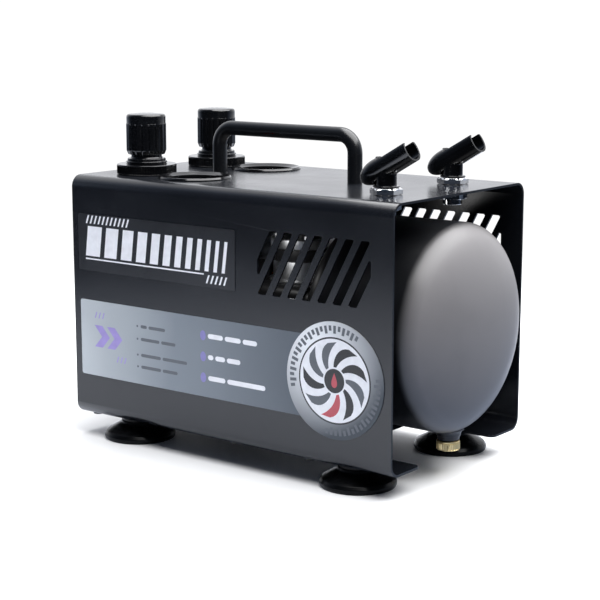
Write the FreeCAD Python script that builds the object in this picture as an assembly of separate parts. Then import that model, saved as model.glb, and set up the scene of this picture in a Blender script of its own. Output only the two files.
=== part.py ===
import FreeCAD, Part
import math
import os

from FreeCAD import Vector

os.makedirs("parts", exist_ok=True)

# Portable airbrush compressor with two regulated outlets.
# Millimetres. X runs along the case, with the tank's dome at +X. The label side faces -Y. Z is up.
# The origin is on the table, under the middle of the whole compressor.

# Case
foot_height = 15.0
case_length = 260.0
case_width = 148.0
case_height = 163.0
sheet = 1.5
bend_radius = 8.0
flange_width = 32.0
flange_corner = 4.5
tank_overhang = 21.0

case_left = -(case_length + tank_overhang) / 2
case_right = case_left + case_length
half_width = case_width / 2
case_top = foot_height + case_height
under_top = case_top - sheet
flange_top = foot_height + sheet
flange_tip = half_width - flange_width

# Slanted vents, alike in the front and the back wall
vent_left = 19.0
vent_right = 104.0
vent_bottom = 115.0
vent_top = 155.0
vent_count = 8
vent_pitch = 11.4
vent_width = 6.5
vent_lean = 21.0
vent_first_top = 28.6
vent_corner = 1.0
vent_overrun = 5.0

# Feet
foot_x = (-102.5, 80.5)
foot_y = 52.5
foot_radius = 24.0
foot_neck_radius = 11.5
stud_radius = 2.5

# Base plate and end panel
plate = 2.0
base_left = case_left + 2.0
base_right = 61.0
base_bottom = flange_top
base_top = base_bottom + plate
base_screw_x = (-134.0, -10.0, 50.0)
base_screw_y = 60.0
panel_x = case_left + 12.0
panel_screw_y = 40.0

# Carrying handle
handle_x = (-73.5, 39.0)
handle_radius = 4.8
handle_rise = 30.5
handle_bend = 11.5
handle_screw_radius = 2.5

# Regulators
regulator_x = -107.5
regulator_y = 36.0
port_z = 160.0
ring_radius = 20.0
ring_height = 6.8
bonnet_radius = 13.7
collar_height = 10.7
neck_radius = 10.2
knob_radius = 13.35
knob_bottom = case_top + 13.2
knob_top = case_top + 40.5
fit = 0.05

# Gauges
gauge_x = -63.5
gauge_y = 37.0
gauge_radius = 20.5
gauge_bottom = 152.0
bezel_radius = 24.0
bezel_height = 1.8
dial_z = 168.0

# Airbrush holders
holder_x = 88.8
holder_y = 37.0
holder_post_radius = 6.25
holder_nut_flats = 17.4
holder_nut_height = 4.0
holder_pivot_z = case_top + 12.0
cradle_radius = 7.1
cradle_bore = 5.9
cradle_tilt = 30.0
cradle_axis = 4.6
cradle_shoulder = -5.0
cradle_nose = -12.8
cradle_nose_radius = 5.3
cradle_hollow = -6.0
cradle_slot = 0.3
cradle_slot_floor = 9.4
cradle_mouth = 23.4

# Tank
tank_radius = 65.5
tank_z = 94.0
tank_wall = 2.0
barrel_left = 55.5
barrel_right = 115.5
head_depth = tank_overhang + case_right - barrel_right
knuckle = 12.0
drain_x = 112.1
drain_boss_bottom = 22.8
drain_knob_radius = 7.4
drain_knob_height = 6.0
drain_gap = 0.5
drain_stem_radius = 3.0

# Motor and pump
shaft_z = 77.0
shaft_radius = 4.0
stator_left = -72.0
stator_right = -34.0
stator_radius = 42.0
rotor_radius = 22.0
air_gap = 0.3
pump_x = -2.0
crankcase_left = -24.0
crankcase_right = 20.0
crankcase_half = 28.0
crankcase_top = 112.0
crank_throw = 5.0
bore_radius = 16.0
cylinder_top = 126.0
head_bottom = 134.0
head_top = 141.0

ALONG_X = Vector(1, 0, 0)
ALONG_Y = Vector(0, 1, 0)
ALONG_Z = Vector(0, 0, 1)

nodes = {}


def box(x0, x1, y0, y1, z0, z1):
    return Part.makeBox(x1 - x0, y1 - y0, z1 - z0, Vector(x0, y0, z0))


def rod_x(x0, x1, y, z, radius):
    return Part.makeCylinder(radius, x1 - x0, Vector(x0, y, z), ALONG_X)


def rod_y(x, y0, y1, z, radius):
    return Part.makeCylinder(radius, y1 - y0, Vector(x, y0, z), ALONG_Y)


def rod_z(x, y, z0, z1, radius):
    return Part.makeCylinder(radius, z1 - z0, Vector(x, y, z0), ALONG_Z)


def hexagon(centre, direction, flats, height):
    """A hexagonal prism that grows from centre along direction."""
    corner = flats / math.sqrt(3)
    turn = [math.radians(60 * i + 30) for i in range(7)]
    ring = [Vector(corner * math.cos(a), corner * math.sin(a), 0) for a in turn]
    prism = Part.Face(Part.makePolygon(ring)).extrude(Vector(0, 0, height))
    prism.Placement = FreeCAD.Placement(centre, FreeCAD.Rotation(ALONG_Z, direction))
    return prism


def turned(profile, x, y):
    """Revolve a closed outline of (radius, z) points about the upright axis through x, y."""
    points = [Vector(x + radius, y, z) for radius, z in profile]
    outline = Part.makePolygon(points + points[:1])
    return Part.Face(outline).revolve(Vector(x, y, 0), ALONG_Z, 360)


def edges_along(shape, direction, keep=lambda middle: True):
    """The straight edges that run along direction and whose middle passes the test."""
    found = []
    for edge in shape.Edges:
        if not isinstance(edge.Curve, Part.Line):
            continue
        middle = (edge.Vertexes[0].Point + edge.Vertexes[-1].Point) * 0.5
        if abs(abs(edge.Curve.Direction.dot(direction)) - 1) < 1e-6 and keep(middle):
            found.append(edge)
    return found


def rounded_box(x0, x1, y0, y1, z0, z1, direction, radius):
    """A box with the four edges that run along direction rounded."""
    block = box(x0, x1, y0, y1, z0, z1)
    return block.makeFillet(radius, edges_along(block, direction))


def mirrored(shape):
    return shape.mirror(Vector(0, 0, 0), ALONG_Y)


def pair(front):
    """The same piece at the front and, mirrored, at the rear."""
    return Part.makeCompound([front, mirrored(front)])


def group(shapes):
    return Part.makeCompound(list(shapes))


def bent_rod(points, bend, radius, bore=0.0):
    """A round rod or hose of straight runs joined by tangent arcs."""
    route = [Vector(*point) for point in points]
    edges = []
    start = route[0]
    for before, corner, after in zip(route, route[1:], route[2:]):
        arriving = (corner - before).normalize()
        leaving = (after - corner).normalize()
        half_turn = arriving.getAngle(leaving) / 2
        reach = bend * math.tan(half_turn)
        first = corner - arriving * reach
        last = corner + leaving * reach
        inward = (leaving - arriving).normalize()
        middle = corner + inward * (bend / math.cos(half_turn) - bend)
        edges.append(Part.LineSegment(start, first).toShape())
        edges.append(Part.Arc(first, middle, last).toShape())
        start = last
    edges.append(Part.LineSegment(start, route[-1]).toShape())
    path = Part.Wire(edges)

    def swept(section_radius):
        circle = Part.makeCircle(section_radius, route[0], route[1] - route[0])
        return path.makePipeShell([Part.Wire([circle])], True, True)

    solid = swept(radius)
    return solid.cut(swept(bore)) if bore else solid


# Case


def vent_cutters():
    """The slanted slots, as prisms that cross both side walls."""
    start = -half_width - vent_overrun
    frame = box(vent_left, vent_right, start, -start, vent_bottom, vent_top)
    cutters = []
    for i in range(vent_count):
        top = vent_first_top + i * vent_pitch
        low = top - vent_lean
        corners = [
            Vector(low, start, vent_bottom),
            Vector(low + vent_width, start, vent_bottom),
            Vector(top + vent_width, start, vent_top),
            Vector(top, start, vent_top),
        ]
        slot = Part.Face(Part.makePolygon(corners + corners[:1]))
        slot = slot.extrude(Vector(0, -2 * start, 0)).common(frame)
        cutters.append(slot.makeFillet(vent_corner, edges_along(slot, ALONG_Y)))
    return cutters


def make_cover():
    skin_y = half_width - sheet
    cover = rounded_box(
        case_left, case_right, -half_width, half_width, foot_height, case_top, ALONG_X, bend_radius
    )
    hollow = rounded_box(
        case_left - 1, case_right + 1, -skin_y, skin_y, flange_top, under_top,
        ALONG_X, bend_radius - sheet,
    )
    cover = cover.cut(hollow)
    cover = cover.cut(
        box(case_left - 1, case_right + 1, -flange_tip, flange_tip, foot_height - 1, flange_top + 1)
    )
    tips = edges_along(cover, ALONG_Z, lambda m: abs(abs(m.y) - flange_tip) < 0.01)
    cover = cover.makeFillet(flange_corner, tips)
    holes = vent_cutters()
    for side in (-1, 1):
        holes.append(rod_z(regulator_x, side * regulator_y, under_top - 2, case_top + 2, 13.9))
        holes.append(rod_z(gauge_x, side * gauge_y, under_top - 2, case_top + 2, gauge_radius + 0.2))
        holes.append(rod_z(holder_x, side * holder_y, under_top - 2, case_top + 2, 6.2))
        for x in foot_x:
            holes.append(rod_z(x, side * foot_y, foot_height - 1, flange_top + 1, stud_radius + 0.1))
        for x in base_screw_x:
            holes.append(rod_z(x, side * base_screw_y, foot_height - 1, flange_top + 1, 2.1))
    for x in handle_x:
        holes.append(rod_z(x, 0, under_top - 2, case_top + 2, handle_screw_radius + 0.1))
    return cover.cut(holes)


def make_base_plate():
    half = half_width - bend_radius - 0.5
    base = box(base_left, base_right, -half, half, base_bottom, base_top)
    holes = []
    for side in (-1, 1):
        holes.append(rod_z(foot_x[0], side * foot_y, base_bottom - 1, base_top + 1, stud_radius + 0.1))
        holes.append(rod_z(panel_x + 8, side * panel_screw_y, base_bottom - 1, base_top + 1, 2.1))
        for x in base_screw_x:
            holes.append(rod_z(x, side * base_screw_y, base_bottom - 1, base_top + 1, 2.1))
    return base.cut(holes)


inlet_y = -38.0
inlet_z = 46.0
switch_y = 38.0
switch_z = 46.0
grille_z = 88.0


def make_end_panel():
    panel = box(
        panel_x, panel_x + sheet, -half_width + sheet + 0.3, half_width - sheet - 0.3,
        base_top, under_top - 0.3,
    )
    panel = panel.makeFillet(bend_radius, edges_along(panel, ALONG_X))
    tab = box(panel_x, panel_x + 15, -half_width + 12, half_width - 12, base_top, base_top + sheet)
    panel = panel.fuse(tab)
    cuts = []
    for side in (-1, 1):
        cuts.append(rod_x(panel_x - 1, panel_x + 3, side * regulator_y, port_z, 4.9))
        cuts.append(rod_z(panel_x + 8, side * panel_screw_y, base_top - 1, base_top + 3, 2.1))
    for y, z, half_y, half_z in (
        (inlet_y, inlet_z, 13.5, 10.0), (switch_y, switch_z, 6.4, 9.8)
    ):
        cuts.append(box(panel_x - 1, panel_x + 3, y - half_y, y + half_y, z - half_z, z + half_z))
    for i in range(-4, 5):
        z = grille_z + 7.5 * i
        half = math.sqrt(36.0**2 - (7.5 * i) ** 2)
        cuts.append(
            rounded_box(panel_x - 1, panel_x + 3, -half, half, z - 1.75, z + 1.75, ALONG_X, 1.7)
        )
    return panel.cut(cuts)


def screw(x, y, z, up, length, radius, head_radius, head_height):
    """A pan-head screw: the head's underside is at z, and the shank runs up or down from it."""
    if up:
        shank = rod_z(x, y, z, z + length, radius)
        return shank.fuse(rod_z(x, y, z - head_height, z, head_radius))
    shank = rod_z(x, y, z - length, z, radius)
    return shank.fuse(rod_z(x, y, z, z + head_height, head_radius))


def make_case_screws():
    screws = [screw(x, 0, under_top, True, 11.5, handle_screw_radius, 4.6, 3.0) for x in handle_x]
    for side in (-1, 1):
        for x in base_screw_x:
            bolt = screw(x, side * base_screw_y, foot_height, True, 7.0, 2.0, 3.8, 2.4)
            nut = hexagon(Vector(x, side * base_screw_y, base_top), ALONG_Z, 7.0, 2.8)
            screws.append(bolt.fuse(nut))
        tab_top = base_top + sheet
        screws.append(
            screw(panel_x + 8, side * panel_screw_y, tab_top, False, 6.0, 2.0, 3.8, 2.4)
        )
    return group(screws)


def make_foot(x, y):
    profile = [
        (0.0, 6.0), (9.0, 4.4), (17.0, 1.6), (21.4, 0.0), (23.0, 0.0), (foot_radius, 1.2),
        (foot_radius, 2.8), (23.2, 4.4), (21.0, 6.1), (12.2, 11.2), (foot_neck_radius, 11.9),
        (foot_neck_radius, foot_height), (0.0, foot_height),
    ]
    foot = turned(profile, x, y)
    return foot.cut(rod_z(x, y, 9.0, foot_height + 1, stud_radius))


def make_foot_stud(x, y):
    seat = base_top if x < base_right else flange_top
    stud = rod_z(x, y, 9.0, seat + 6.5, stud_radius)
    nut = hexagon(Vector(x, y, seat), ALONG_Z, 8.0, 4.0)
    return stud.fuse(nut)


def make_handle():
    left, right = handle_x
    bar_z = case_top + handle_rise
    route = [(left, 0, case_top), (left, 0, bar_z), (right, 0, bar_z), (right, 0, case_top)]
    handle = bent_rod(route, handle_bend, handle_radius)
    for x in handle_x:
        handle = handle.cut(rod_z(x, 0, case_top - 1, case_top + 12, handle_screw_radius))
    return handle


# Labels on the front wall

badge_x = 78.5
badge_z = 69.0
badge_radius = 36.0


def make_name_plate():
    return rounded_box(-135.0, 1.5, -half_width - 0.4, -half_width, 115.0, 153.0, ALONG_Y, 1.5)


def make_info_panel():
    panel = rounded_box(-134.5, 54.5, -half_width - 0.3, -half_width, 43.6, 95.0, ALONG_Y, 1.5)
    return panel.cut(rod_y(badge_x, -half_width - 1, -half_width + 1, badge_z, badge_radius))


def make_round_badge():
    return rod_y(badge_x, -half_width - 0.5, -half_width, badge_z, badge_radius)


# Regulators

body_top = 172.0
body_bottom = 144.0
stem_radius = 3.5
neck_top = case_top + 18.0
knob_bore_top = case_top + 22.0


def regulator_axis(side):
    return regulator_x, side * regulator_y


def make_regulator_body():
    x, y = regulator_axis(-1)
    body = rod_z(x, y, 150.0, body_top, 15.0)
    body = body.fuse(rod_z(x, y, body_bottom, 150.0, 9.0))
    return body.fuse(rod_x(panel_x + 4, x, y, port_z, 7.0))


def make_regulator_ring():
    x, y = regulator_axis(-1)
    ring = rod_z(x, y, case_top, case_top + ring_height, ring_radius)
    ring = ring.makeChamfer(0.6, [edge for edge in ring.Edges if isinstance(edge.Curve, Part.Circle)])
    return ring.cut(rod_z(x, y, case_top - 1, case_top + ring_height + 1, bonnet_radius + fit))


def make_regulator_bonnet():
    x, y = regulator_axis(-1)
    step = case_top + 8.8
    profile = [
        (0.0, body_top), (bonnet_radius, body_top), (bonnet_radius, step - 0.6),
        (bonnet_radius - 0.6, step), (12.75, step), (12.75, case_top + collar_height - 0.5),
        (12.25, case_top + collar_height), (neck_radius, case_top + collar_height),
        (neck_radius, neck_top), (0.0, neck_top),
    ]
    bonnet = turned(profile, x, y)
    return bonnet.cut(rod_z(x, y, case_top + 2, neck_top + 1, stem_radius + fit))


def make_regulator_stem():
    x, y = regulator_axis(-1)
    return rod_z(x, y, case_top + 6, knob_bore_top + 8.5, stem_radius)


def make_regulator_knob():
    x, y = regulator_axis(-1)
    profile = [
        (0.0, knob_bottom), (12.0, knob_bottom), (knob_radius, knob_bottom + 2.6),
        (knob_radius, knob_top - 3.0), (12.9, knob_top - 1.6), (11.6, knob_top - 0.7),
        (8.0, knob_top - 0.2), (0.0, knob_top),
    ]
    knob = turned(profile, x, y)
    knob = knob.cut(rod_z(x, y, knob_bottom - 1, knob_bore_top, neck_radius + 0.5))
    return knob.cut(rod_z(x, y, knob_bore_top - 1, knob_bore_top + 9.0, stem_radius + fit))


def make_air_outlet():
    y = -regulator_y
    outlet = rod_x(panel_x - 11.5, panel_x + 4, y, port_z, 4.86)
    outlet = outlet.fuse(hexagon(Vector(panel_x, y, port_z), Vector(-1, 0, 0), 14.0, 4.0))
    return outlet.cut(rod_x(panel_x - 12, panel_x + 5, y, port_z, 2.8))


def make_supply_tee(bodies):
    reach = regulator_y - 14.0
    tee = rod_y(regulator_x, -reach, reach, port_z, 5.0)
    tee = tee.fuse(rod_x(regulator_x, regulator_x + 12, 0, port_z, 4.2))
    return tee.cut(bodies)


# Gauges


def make_gauge_case():
    x, y = gauge_x, -gauge_y
    case = rod_z(x, y, gauge_bottom, case_top, gauge_radius)
    case = case.cut(rod_z(x, y, gauge_bottom + 1.5, case_top + 1, gauge_radius - 1.2))
    ledge = rod_z(x, y, dial_z - 2, dial_z, gauge_radius - 1.2)
    ledge = ledge.cut(rod_z(x, y, dial_z - 3, dial_z + 1, gauge_radius - 3.0))
    return case.fuse(ledge).fuse(rod_z(x, y, body_bottom, gauge_bottom, 5.0))


def make_gauge_bezel():
    x, y = gauge_x, -gauge_y
    inner = gauge_radius - 2.3
    skirt = gauge_radius - 1.3
    profile = [
        (inner, dial_z + 5.6), (skirt, dial_z + 5.6), (skirt, case_top), (bezel_radius, case_top),
        (bezel_radius, case_top + 0.6), (bezel_radius - 0.6, case_top + 1.4),
        (bezel_radius - 1.6, case_top + bezel_height), (inner + 1.6, case_top + bezel_height),
        (inner + 0.5, case_top + 1.3), (inner, case_top + 0.4),
    ]
    return turned(profile, x, y)


def make_gauge_dial():
    x, y = gauge_x, -gauge_y
    dial = rod_z(x, y, dial_z, dial_z + 0.6, gauge_radius - 1.3)
    return dial.cut(rod_z(x, y, dial_z - 1, dial_z + 1, 0.8))


def make_gauge_lens():
    return rod_z(gauge_x, -gauge_y, dial_z + 4.2, dial_z + 5.6, gauge_radius - 1.3)


def make_gauge_needle(y):
    """The pointer rests at zero, which is at the lower left of the dial seen from the front."""
    x = gauge_x
    z = dial_z + 1.2
    hub = rod_z(x, y, z, z + 1.0, 2.0)
    pin = rod_z(x, y, dial_z - 4, z, 0.75)
    pointer = Part.makePolygon([
        Vector(x - 0.9, y - 5, z + 0.2), Vector(x + 0.9, y - 5, z + 0.2),
        Vector(x + 0.25, y + 15, z + 0.2), Vector(x - 0.25, y + 15, z + 0.2),
        Vector(x - 0.9, y - 5, z + 0.2),
    ])
    pointer = Part.Face(pointer).extrude(Vector(0, 0, 0.5))
    pointer.rotate(Vector(x, y, z), ALONG_Z, 135)
    return hub.fuse(pin).fuse(pointer)


# Airbrush holders


def make_holder_socket():
    x, y = holder_x, -holder_y
    socket = hexagon(Vector(x, y, case_top), ALONG_Z, holder_nut_flats, holder_nut_height)
    socket = socket.fuse(rod_z(x, y, case_top - 13, case_top + 1, 6.0))
    socket = socket.cut(rod_z(x, y, case_top - 14, case_top + 5, 4.0 + fit))
    locknut = hexagon(Vector(x, y, under_top - 8), ALONG_Z, 16.0, 8.0)
    locknut = locknut.cut(rod_z(x, y, under_top - 9, under_top + 1, 6.0))
    return group([socket, locknut])


def make_cradle():
    """The holder's bullet-shaped outer form, lying along X: a tube that tapers to a round nose."""
    outline = [
        Vector(cradle_nose, 0, cradle_nose_radius), Vector(cradle_shoulder, 0, cradle_radius),
        Vector(cradle_mouth, 0, cradle_radius), Vector(cradle_mouth, 0, 0),
        Vector(cradle_nose - cradle_nose_radius, 0, 0),
    ]
    halfway = cradle_nose_radius * math.sqrt(0.5)
    nose = Part.Arc(outline[-1], Vector(cradle_nose - halfway, 0, halfway), outline[0])
    sides = [Part.LineSegment(a, b).toShape() for a, b in zip(outline, outline[1:])]
    cradle = Part.Face(Part.Wire(sides + [nose.toShape()])).revolve(Vector(0, 0, 0), ALONG_X, 360)
    cradle.translate(Vector(0, 0, cradle_axis))
    return cradle


def make_airbrush_holder():
    """A tilted tube, closed at its nose and slotted along its top, on a post that turns."""
    x, y = holder_x, -holder_y
    seat = case_top + holder_nut_height + 0.3
    tube = make_cradle()
    hollow = rod_x(cradle_hollow, cradle_mouth + 1, 0, cradle_axis, cradle_bore)
    hollow = hollow.fuse(Part.makeSphere(cradle_bore, Vector(cradle_hollow, 0, cradle_axis)))
    slot = box(cradle_slot, cradle_mouth + 1, -10, 10, cradle_slot_floor, 20)
    for shape in (tube, hollow, slot):
        shape.rotate(Vector(0, 0, 0), ALONG_Y, -cradle_tilt)
        shape.translate(Vector(x, y, holder_pivot_z))
    holder = rod_z(x, y, case_top - 12, seat, 4.0)
    holder = holder.fuse(rod_z(x, y, seat, seat + 1.0, 8.0))
    holder = holder.fuse(rod_z(x, y, seat + 1.0, holder_pivot_z, holder_post_radius))
    return holder.fuse(tube).cut(hollow).cut(slot)


# Tank


def dome(base, sign, radius, depth, corner):
    """Half of a pressure vessel's outer shape, from the flat plane at base out to the dome's tip."""
    crown = ((radius - corner) ** 2 + depth**2 - corner**2) / (2 * (depth - corner))
    slope = math.asin((radius - corner) / (crown - corner))

    def at(x, r):
        return Vector(base + sign * x, 0, tank_z + r)

    joint = at(corner * math.cos(slope), radius - corner + corner * math.sin(slope))
    corner_middle = at(
        corner * math.sin((math.pi / 2 - slope) / 2),
        radius - corner + corner * math.cos((math.pi / 2 - slope) / 2),
    )
    crown_middle = at(depth - crown + crown * math.cos(slope / 2), crown * math.sin(slope / 2))
    outline = Part.Wire([
        Part.LineSegment(at(0, 0), at(0, radius)).toShape(),
        Part.Arc(at(0, radius), corner_middle, joint).toShape(),
        Part.Arc(joint, crown_middle, at(depth, 0)).toShape(),
        Part.LineSegment(at(depth, 0), at(0, 0)).toShape(),
    ])
    return Part.Face(outline).revolve(Vector(0, 0, tank_z), ALONG_X, 360)


def make_tank_head(base, sign):
    outer = dome(base, sign, tank_radius, head_depth, knuckle)
    return outer.cut(
        dome(base, sign, tank_radius - tank_wall, head_depth - tank_wall, knuckle - tank_wall)
    )


def vessel():
    """The tank as one solid lump, used to shape what stands on it."""
    lump = rod_x(barrel_left, barrel_right, 0, tank_z, tank_radius)
    lump = lump.fuse(dome(barrel_left, -1, tank_radius, head_depth, knuckle))
    return lump.fuse(dome(barrel_right, 1, tank_radius, head_depth, knuckle))


def make_tank_saddle(tank):
    web = box(57.0, 60.0, -42.0, 42.0, base_top, tank_z)
    foot = box(44.0, 60.0, -42.0, 42.0, base_top, base_top + plate)
    saddle = web.fuse(foot)
    for side in (-1, 1):
        saddle = saddle.fuse(box(46.0, 60.0, side * 40.0 - 1, side * 40.0 + 1, base_top, 36.0))
    return saddle.cut(tank)


def make_drain_boss(tank):
    boss = Part.makeCone(6.9, 8.7, 10.0, Vector(drain_x, 0, drain_boss_bottom), ALONG_Z)
    boss = boss.cut(tank)
    bore_top = drain_boss_bottom + 5.0
    return boss.cut(rod_z(drain_x, 0, drain_boss_bottom - 1, bore_top, drain_stem_radius + fit))


def make_drain_knob():
    top = drain_boss_bottom - drain_gap
    knob = rod_z(drain_x, 0, top - drain_knob_height, top, drain_knob_radius)
    rims = [edge for edge in knob.Edges if isinstance(edge.Curve, Part.Circle)]
    knob = knob.makeChamfer(0.6, rims)
    return knob.fuse(rod_z(drain_x, 0, top - 1, top + 5.0, drain_stem_radius))


check_y = 50.0
check_z = 112.0
supply_y = 34.0
supply_z = 134.0
relief_y = -42.0
relief_z = 88.0
sensor_y = 49.0
sensor_z = 81.0


def make_tank_fittings(tank):
    check = hexagon(Vector(28, check_y, check_z), ALONG_X, 13.0, 30.0)
    supply = hexagon(Vector(34, supply_y, supply_z), ALONG_X, 12.0, 30.0)
    return group([check.cut(tank), supply.cut(tank)])


def make_safety_valve_body(tank):
    body = hexagon(Vector(20, relief_y, relief_z), ALONG_X, 12.0, 9.0)
    body = body.fuse(rod_x(29, 60, relief_y, relief_z, 5.0))
    body = body.cut(tank)
    return body.cut(rod_x(19, 32, relief_y, relief_z, 1.5 + fit))


def make_safety_valve_ring():
    stem = rod_x(13.5, 31, relief_y, relief_z, 1.5)
    ring = Part.makeTorus(6.0, 1.0, Vector(8.0, relief_y, relief_z), ALONG_Y)
    return stem.fuse(ring)


def make_pressure_switch(tank):
    body = rounded_box(6.0, 34.0, sensor_y - 13, sensor_y + 13, 64.0, 98.0, ALONG_Z, 3.0)
    body = body.fuse(box(3.0, 6.0, sensor_y - 8, sensor_y + 8, 70.0, 92.0))
    return body.fuse(rod_x(34, 60, sensor_y, sensor_z, 5.0)).cut(tank)


def make_air_hoses():
    supply = bent_rod(
        [
            (regulator_x + 12, 0, port_z), (-80, 0, port_z), (-42, 11, 154), (-8, 36, 150),
            (17, supply_y, supply_z), (34, supply_y, supply_z),
        ],
        14.0, 3.0, 1.8,
    )
    delivery = bent_rod(
        [
            (pump_x, 27, 137.5), (pump_x, 42, 137.5), (5, check_y, 124), (15, check_y, check_z),
            (28, check_y, check_z),
        ],
        8.0, 3.0, 1.8,
    )
    hoses = [supply, delivery]
    for side in (-1, 1):
        y = side * regulator_y
        hoses.append(
            bent_rod(
                [
                    (regulator_x, y, body_bottom), (regulator_x, y, 128),
                    (gauge_x, side * gauge_y, 128), (gauge_x, side * gauge_y, body_bottom),
                ],
                14.0, 2.5, 1.5,
            )
        )
    return group(hoses)


# Motor and pump

bracket_bottom = base_top + 12.0
bracket_top = bracket_bottom + plate
bell_radius = stator_radius + 2.0
cavity_half = 24.0
mount_x = (-70.0, 10.0)
mount_y = 28.0


def make_rubber_mount(x, y):
    profile = [
        (0.0, base_top), (7.5, base_top), (7.5, base_top + 2), (6.0, base_top + 6),
        (7.5, bracket_bottom - 2), (7.5, bracket_bottom), (0.0, bracket_bottom),
    ]
    return turned(profile, x, y)


def shaft_ring(x0, x1, outer, inner):
    """A ring around the motor's shaft."""
    return rod_x(x0, x1, 0, shaft_z, outer).cut(rod_x(x0 - 1, x1 + 1, 0, shaft_z, inner))


def make_stator_core():
    core = shaft_ring(stator_left, stator_right, stator_radius, rotor_radius + air_gap)
    slots = []
    for i in range(12):
        slot = box(stator_left - 1, stator_right + 1, -2.0, 2.0, shaft_z + 25, shaft_z + 36)
        slot.rotate(Vector(0, 0, shaft_z), ALONG_X, 30 * i)
        slots.append(slot)
    return core.cut(slots)


def make_stator_windings():
    left = shaft_ring(stator_left - 6, stator_left, 37.0, 25.0)
    right = shaft_ring(stator_right, stator_right + 6, 37.0, 25.0)
    return group([left, right])


def make_end_bell():
    left = stator_left - 12
    bell = shaft_ring(left + 4, stator_left + 12, bell_radius, stator_radius)
    bell = bell.fuse(rod_x(left, left + 4, 0, shaft_z, bell_radius))
    bell = bell.fuse(rod_x(left, left + 8, 0, shaft_z, 11.0))
    foot = box(left, left + 8, -20, 20, bracket_top, shaft_z)
    bell = bell.fuse(foot.cut(rod_x(left + 4, left + 20, 0, shaft_z, stator_radius)))
    bell = bell.cut(rod_x(left - 1, left + 9, 0, shaft_z, shaft_radius + 0.6))
    windows = []
    for i in range(8):
        window = rod_x(left - 1, left + 5, 0, shaft_z + 28, 7.0)
        window.rotate(Vector(0, 0, shaft_z), ALONG_X, 45 * i + 22.5)
        windows.append(window)
    return bell.cut(rod_x(left + 2, left + 9, 0, shaft_z, 8.0)).cut(windows)


def make_crankcase():
    body = rounded_box(
        crankcase_left, crankcase_right, -crankcase_half, crankcase_half,
        bracket_top, crankcase_top, ALONG_X, 6.0,
    )
    body = body.fuse(shaft_ring(stator_right - 12, crankcase_left, bell_radius, stator_radius))
    body = body.fuse(rod_x(crankcase_left, crankcase_left + 4, 0, shaft_z, bell_radius))
    body = body.cut(box(crankcase_left + 4, crankcase_right + 1, -cavity_half, cavity_half, 50.0, 104.0))
    body = body.cut(rod_z(pump_x, 0, 100.0, crankcase_top + 1, 19.5))
    body = body.cut(rod_z(pump_x, 0, crankcase_top, shaft_z + bell_radius + 1, 23.0))
    body = body.fuse(rod_x(crankcase_left - 2, crankcase_left + 4, 0, shaft_z, 11.0))
    body = body.cut(rod_x(crankcase_left - 3, crankcase_left + 5, 0, shaft_z, shaft_radius + 0.6))
    return body.cut(rod_x(crankcase_left - 3, crankcase_left + 3, 0, shaft_z, 8.0))


def make_crankcase_cover():
    cover = rounded_box(
        crankcase_right, crankcase_right + 2.5, -crankcase_half, crankcase_half,
        bracket_top + 4, crankcase_top - 2, ALONG_X, 6.0,
    )
    return cover.fuse(rod_x(crankcase_right + 2.5, crankcase_right + 4, 0, shaft_z, 16.0))


def make_cylinder():
    profile = [
        (bore_radius, 104.0), (19.5, 104.0), (19.5, crankcase_top), (22.5, crankcase_top),
        (22.5, crankcase_top + 2), (20.0, crankcase_top + 2), (20.0, cylinder_top),
        (bore_radius, cylinder_top),
    ]
    return turned(profile, pump_x, 0)


def make_valve_plate():
    plate_body = rod_z(pump_x, 0, cylinder_top, head_bottom, 18.5)
    ports = [rod_z(pump_x + offset, 0, cylinder_top - 1, head_bottom + 1, 2.5) for offset in (-7, 7)]
    return plate_body.cut(ports)


def make_cylinder_head():
    head = rod_z(pump_x, 0, head_bottom, head_top, 21.5)
    rims = [edge for edge in head.Edges if isinstance(edge.Curve, Part.Circle)]
    head = head.makeChamfer(0.8, rims)
    port = rod_y(pump_x, 18, 27, 137.5, 3.4)
    return head.fuse(port)


def make_intake_filter():
    body = rod_z(pump_x, 0, head_top + 2, head_top + 14, 14.0)
    body = body.makeFillet(2.0, [edge for edge in body.Edges if isinstance(edge.Curve, Part.Circle)])
    return body.fuse(rod_z(pump_x, 0, head_top, head_top + 3, 6.0))


def make_shaft_bearings():
    left = stator_left - 10
    right = crankcase_left - 2
    bearings = [shaft_ring(x, x + 5, 8.0, shaft_radius + 0.04) for x in (left, right)]
    return group(bearings)


def make_fan():
    left = stator_left - 26
    fan = rod_x(left, left + 10, 0, shaft_z, 10.0)
    for i in range(7):
        blade = box(left + 4, left + 5.5, -10, 10, shaft_z + 8, shaft_z + 38)
        blade.rotate(Vector(left + 5, 0, shaft_z), ALONG_Z, 28)
        blade.rotate(Vector(0, 0, shaft_z), ALONG_X, i * 360 / 7)
        fan = fan.fuse(blade)
    fan = fan.common(rod_x(left, left + 10, 0, shaft_z, 37.0))
    return fan.cut(rod_x(left - 1, left + 11, 0, shaft_z, shaft_radius))


def make_crank_disc():
    disc = rod_x(crankcase_left + 6, pump_x - 5, 0, shaft_z, 19.0)
    flat = box(crankcase_left + 10, pump_x, -25, 25, shaft_z - 30, shaft_z - 11)
    return disc.cut(flat).cut(rod_x(crankcase_left, pump_x - 6, 0, shaft_z, shaft_radius))


def make_connecting_rod():
    pin_z = shaft_z - crank_throw
    eye = rod_x(pump_x - 4, pump_x + 4, 0, pin_z, 9.0)
    shank = box(pump_x - 3, pump_x + 3, -4, 4, pin_z + 6, 107.5)
    rod = eye.fuse(shank)
    rod = rod.cut(rod_x(pump_x - 5, pump_x + 5, 0, pin_z, 5.0))
    pin = rod_x(pump_x - 4.5, pump_x + 4.5, 0, pin_z, 5.0)
    return group([rod, pin])


def make_piston():
    piston = rod_z(pump_x, 0, 107.5, 115.5, bore_radius - fit)
    groove = rod_z(pump_x, 0, 111.0, 112.5, bore_radius + 1).cut(rod_z(pump_x, 0, 110.0, 113.0, 14.5))
    return piston.cut(groove)


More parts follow.
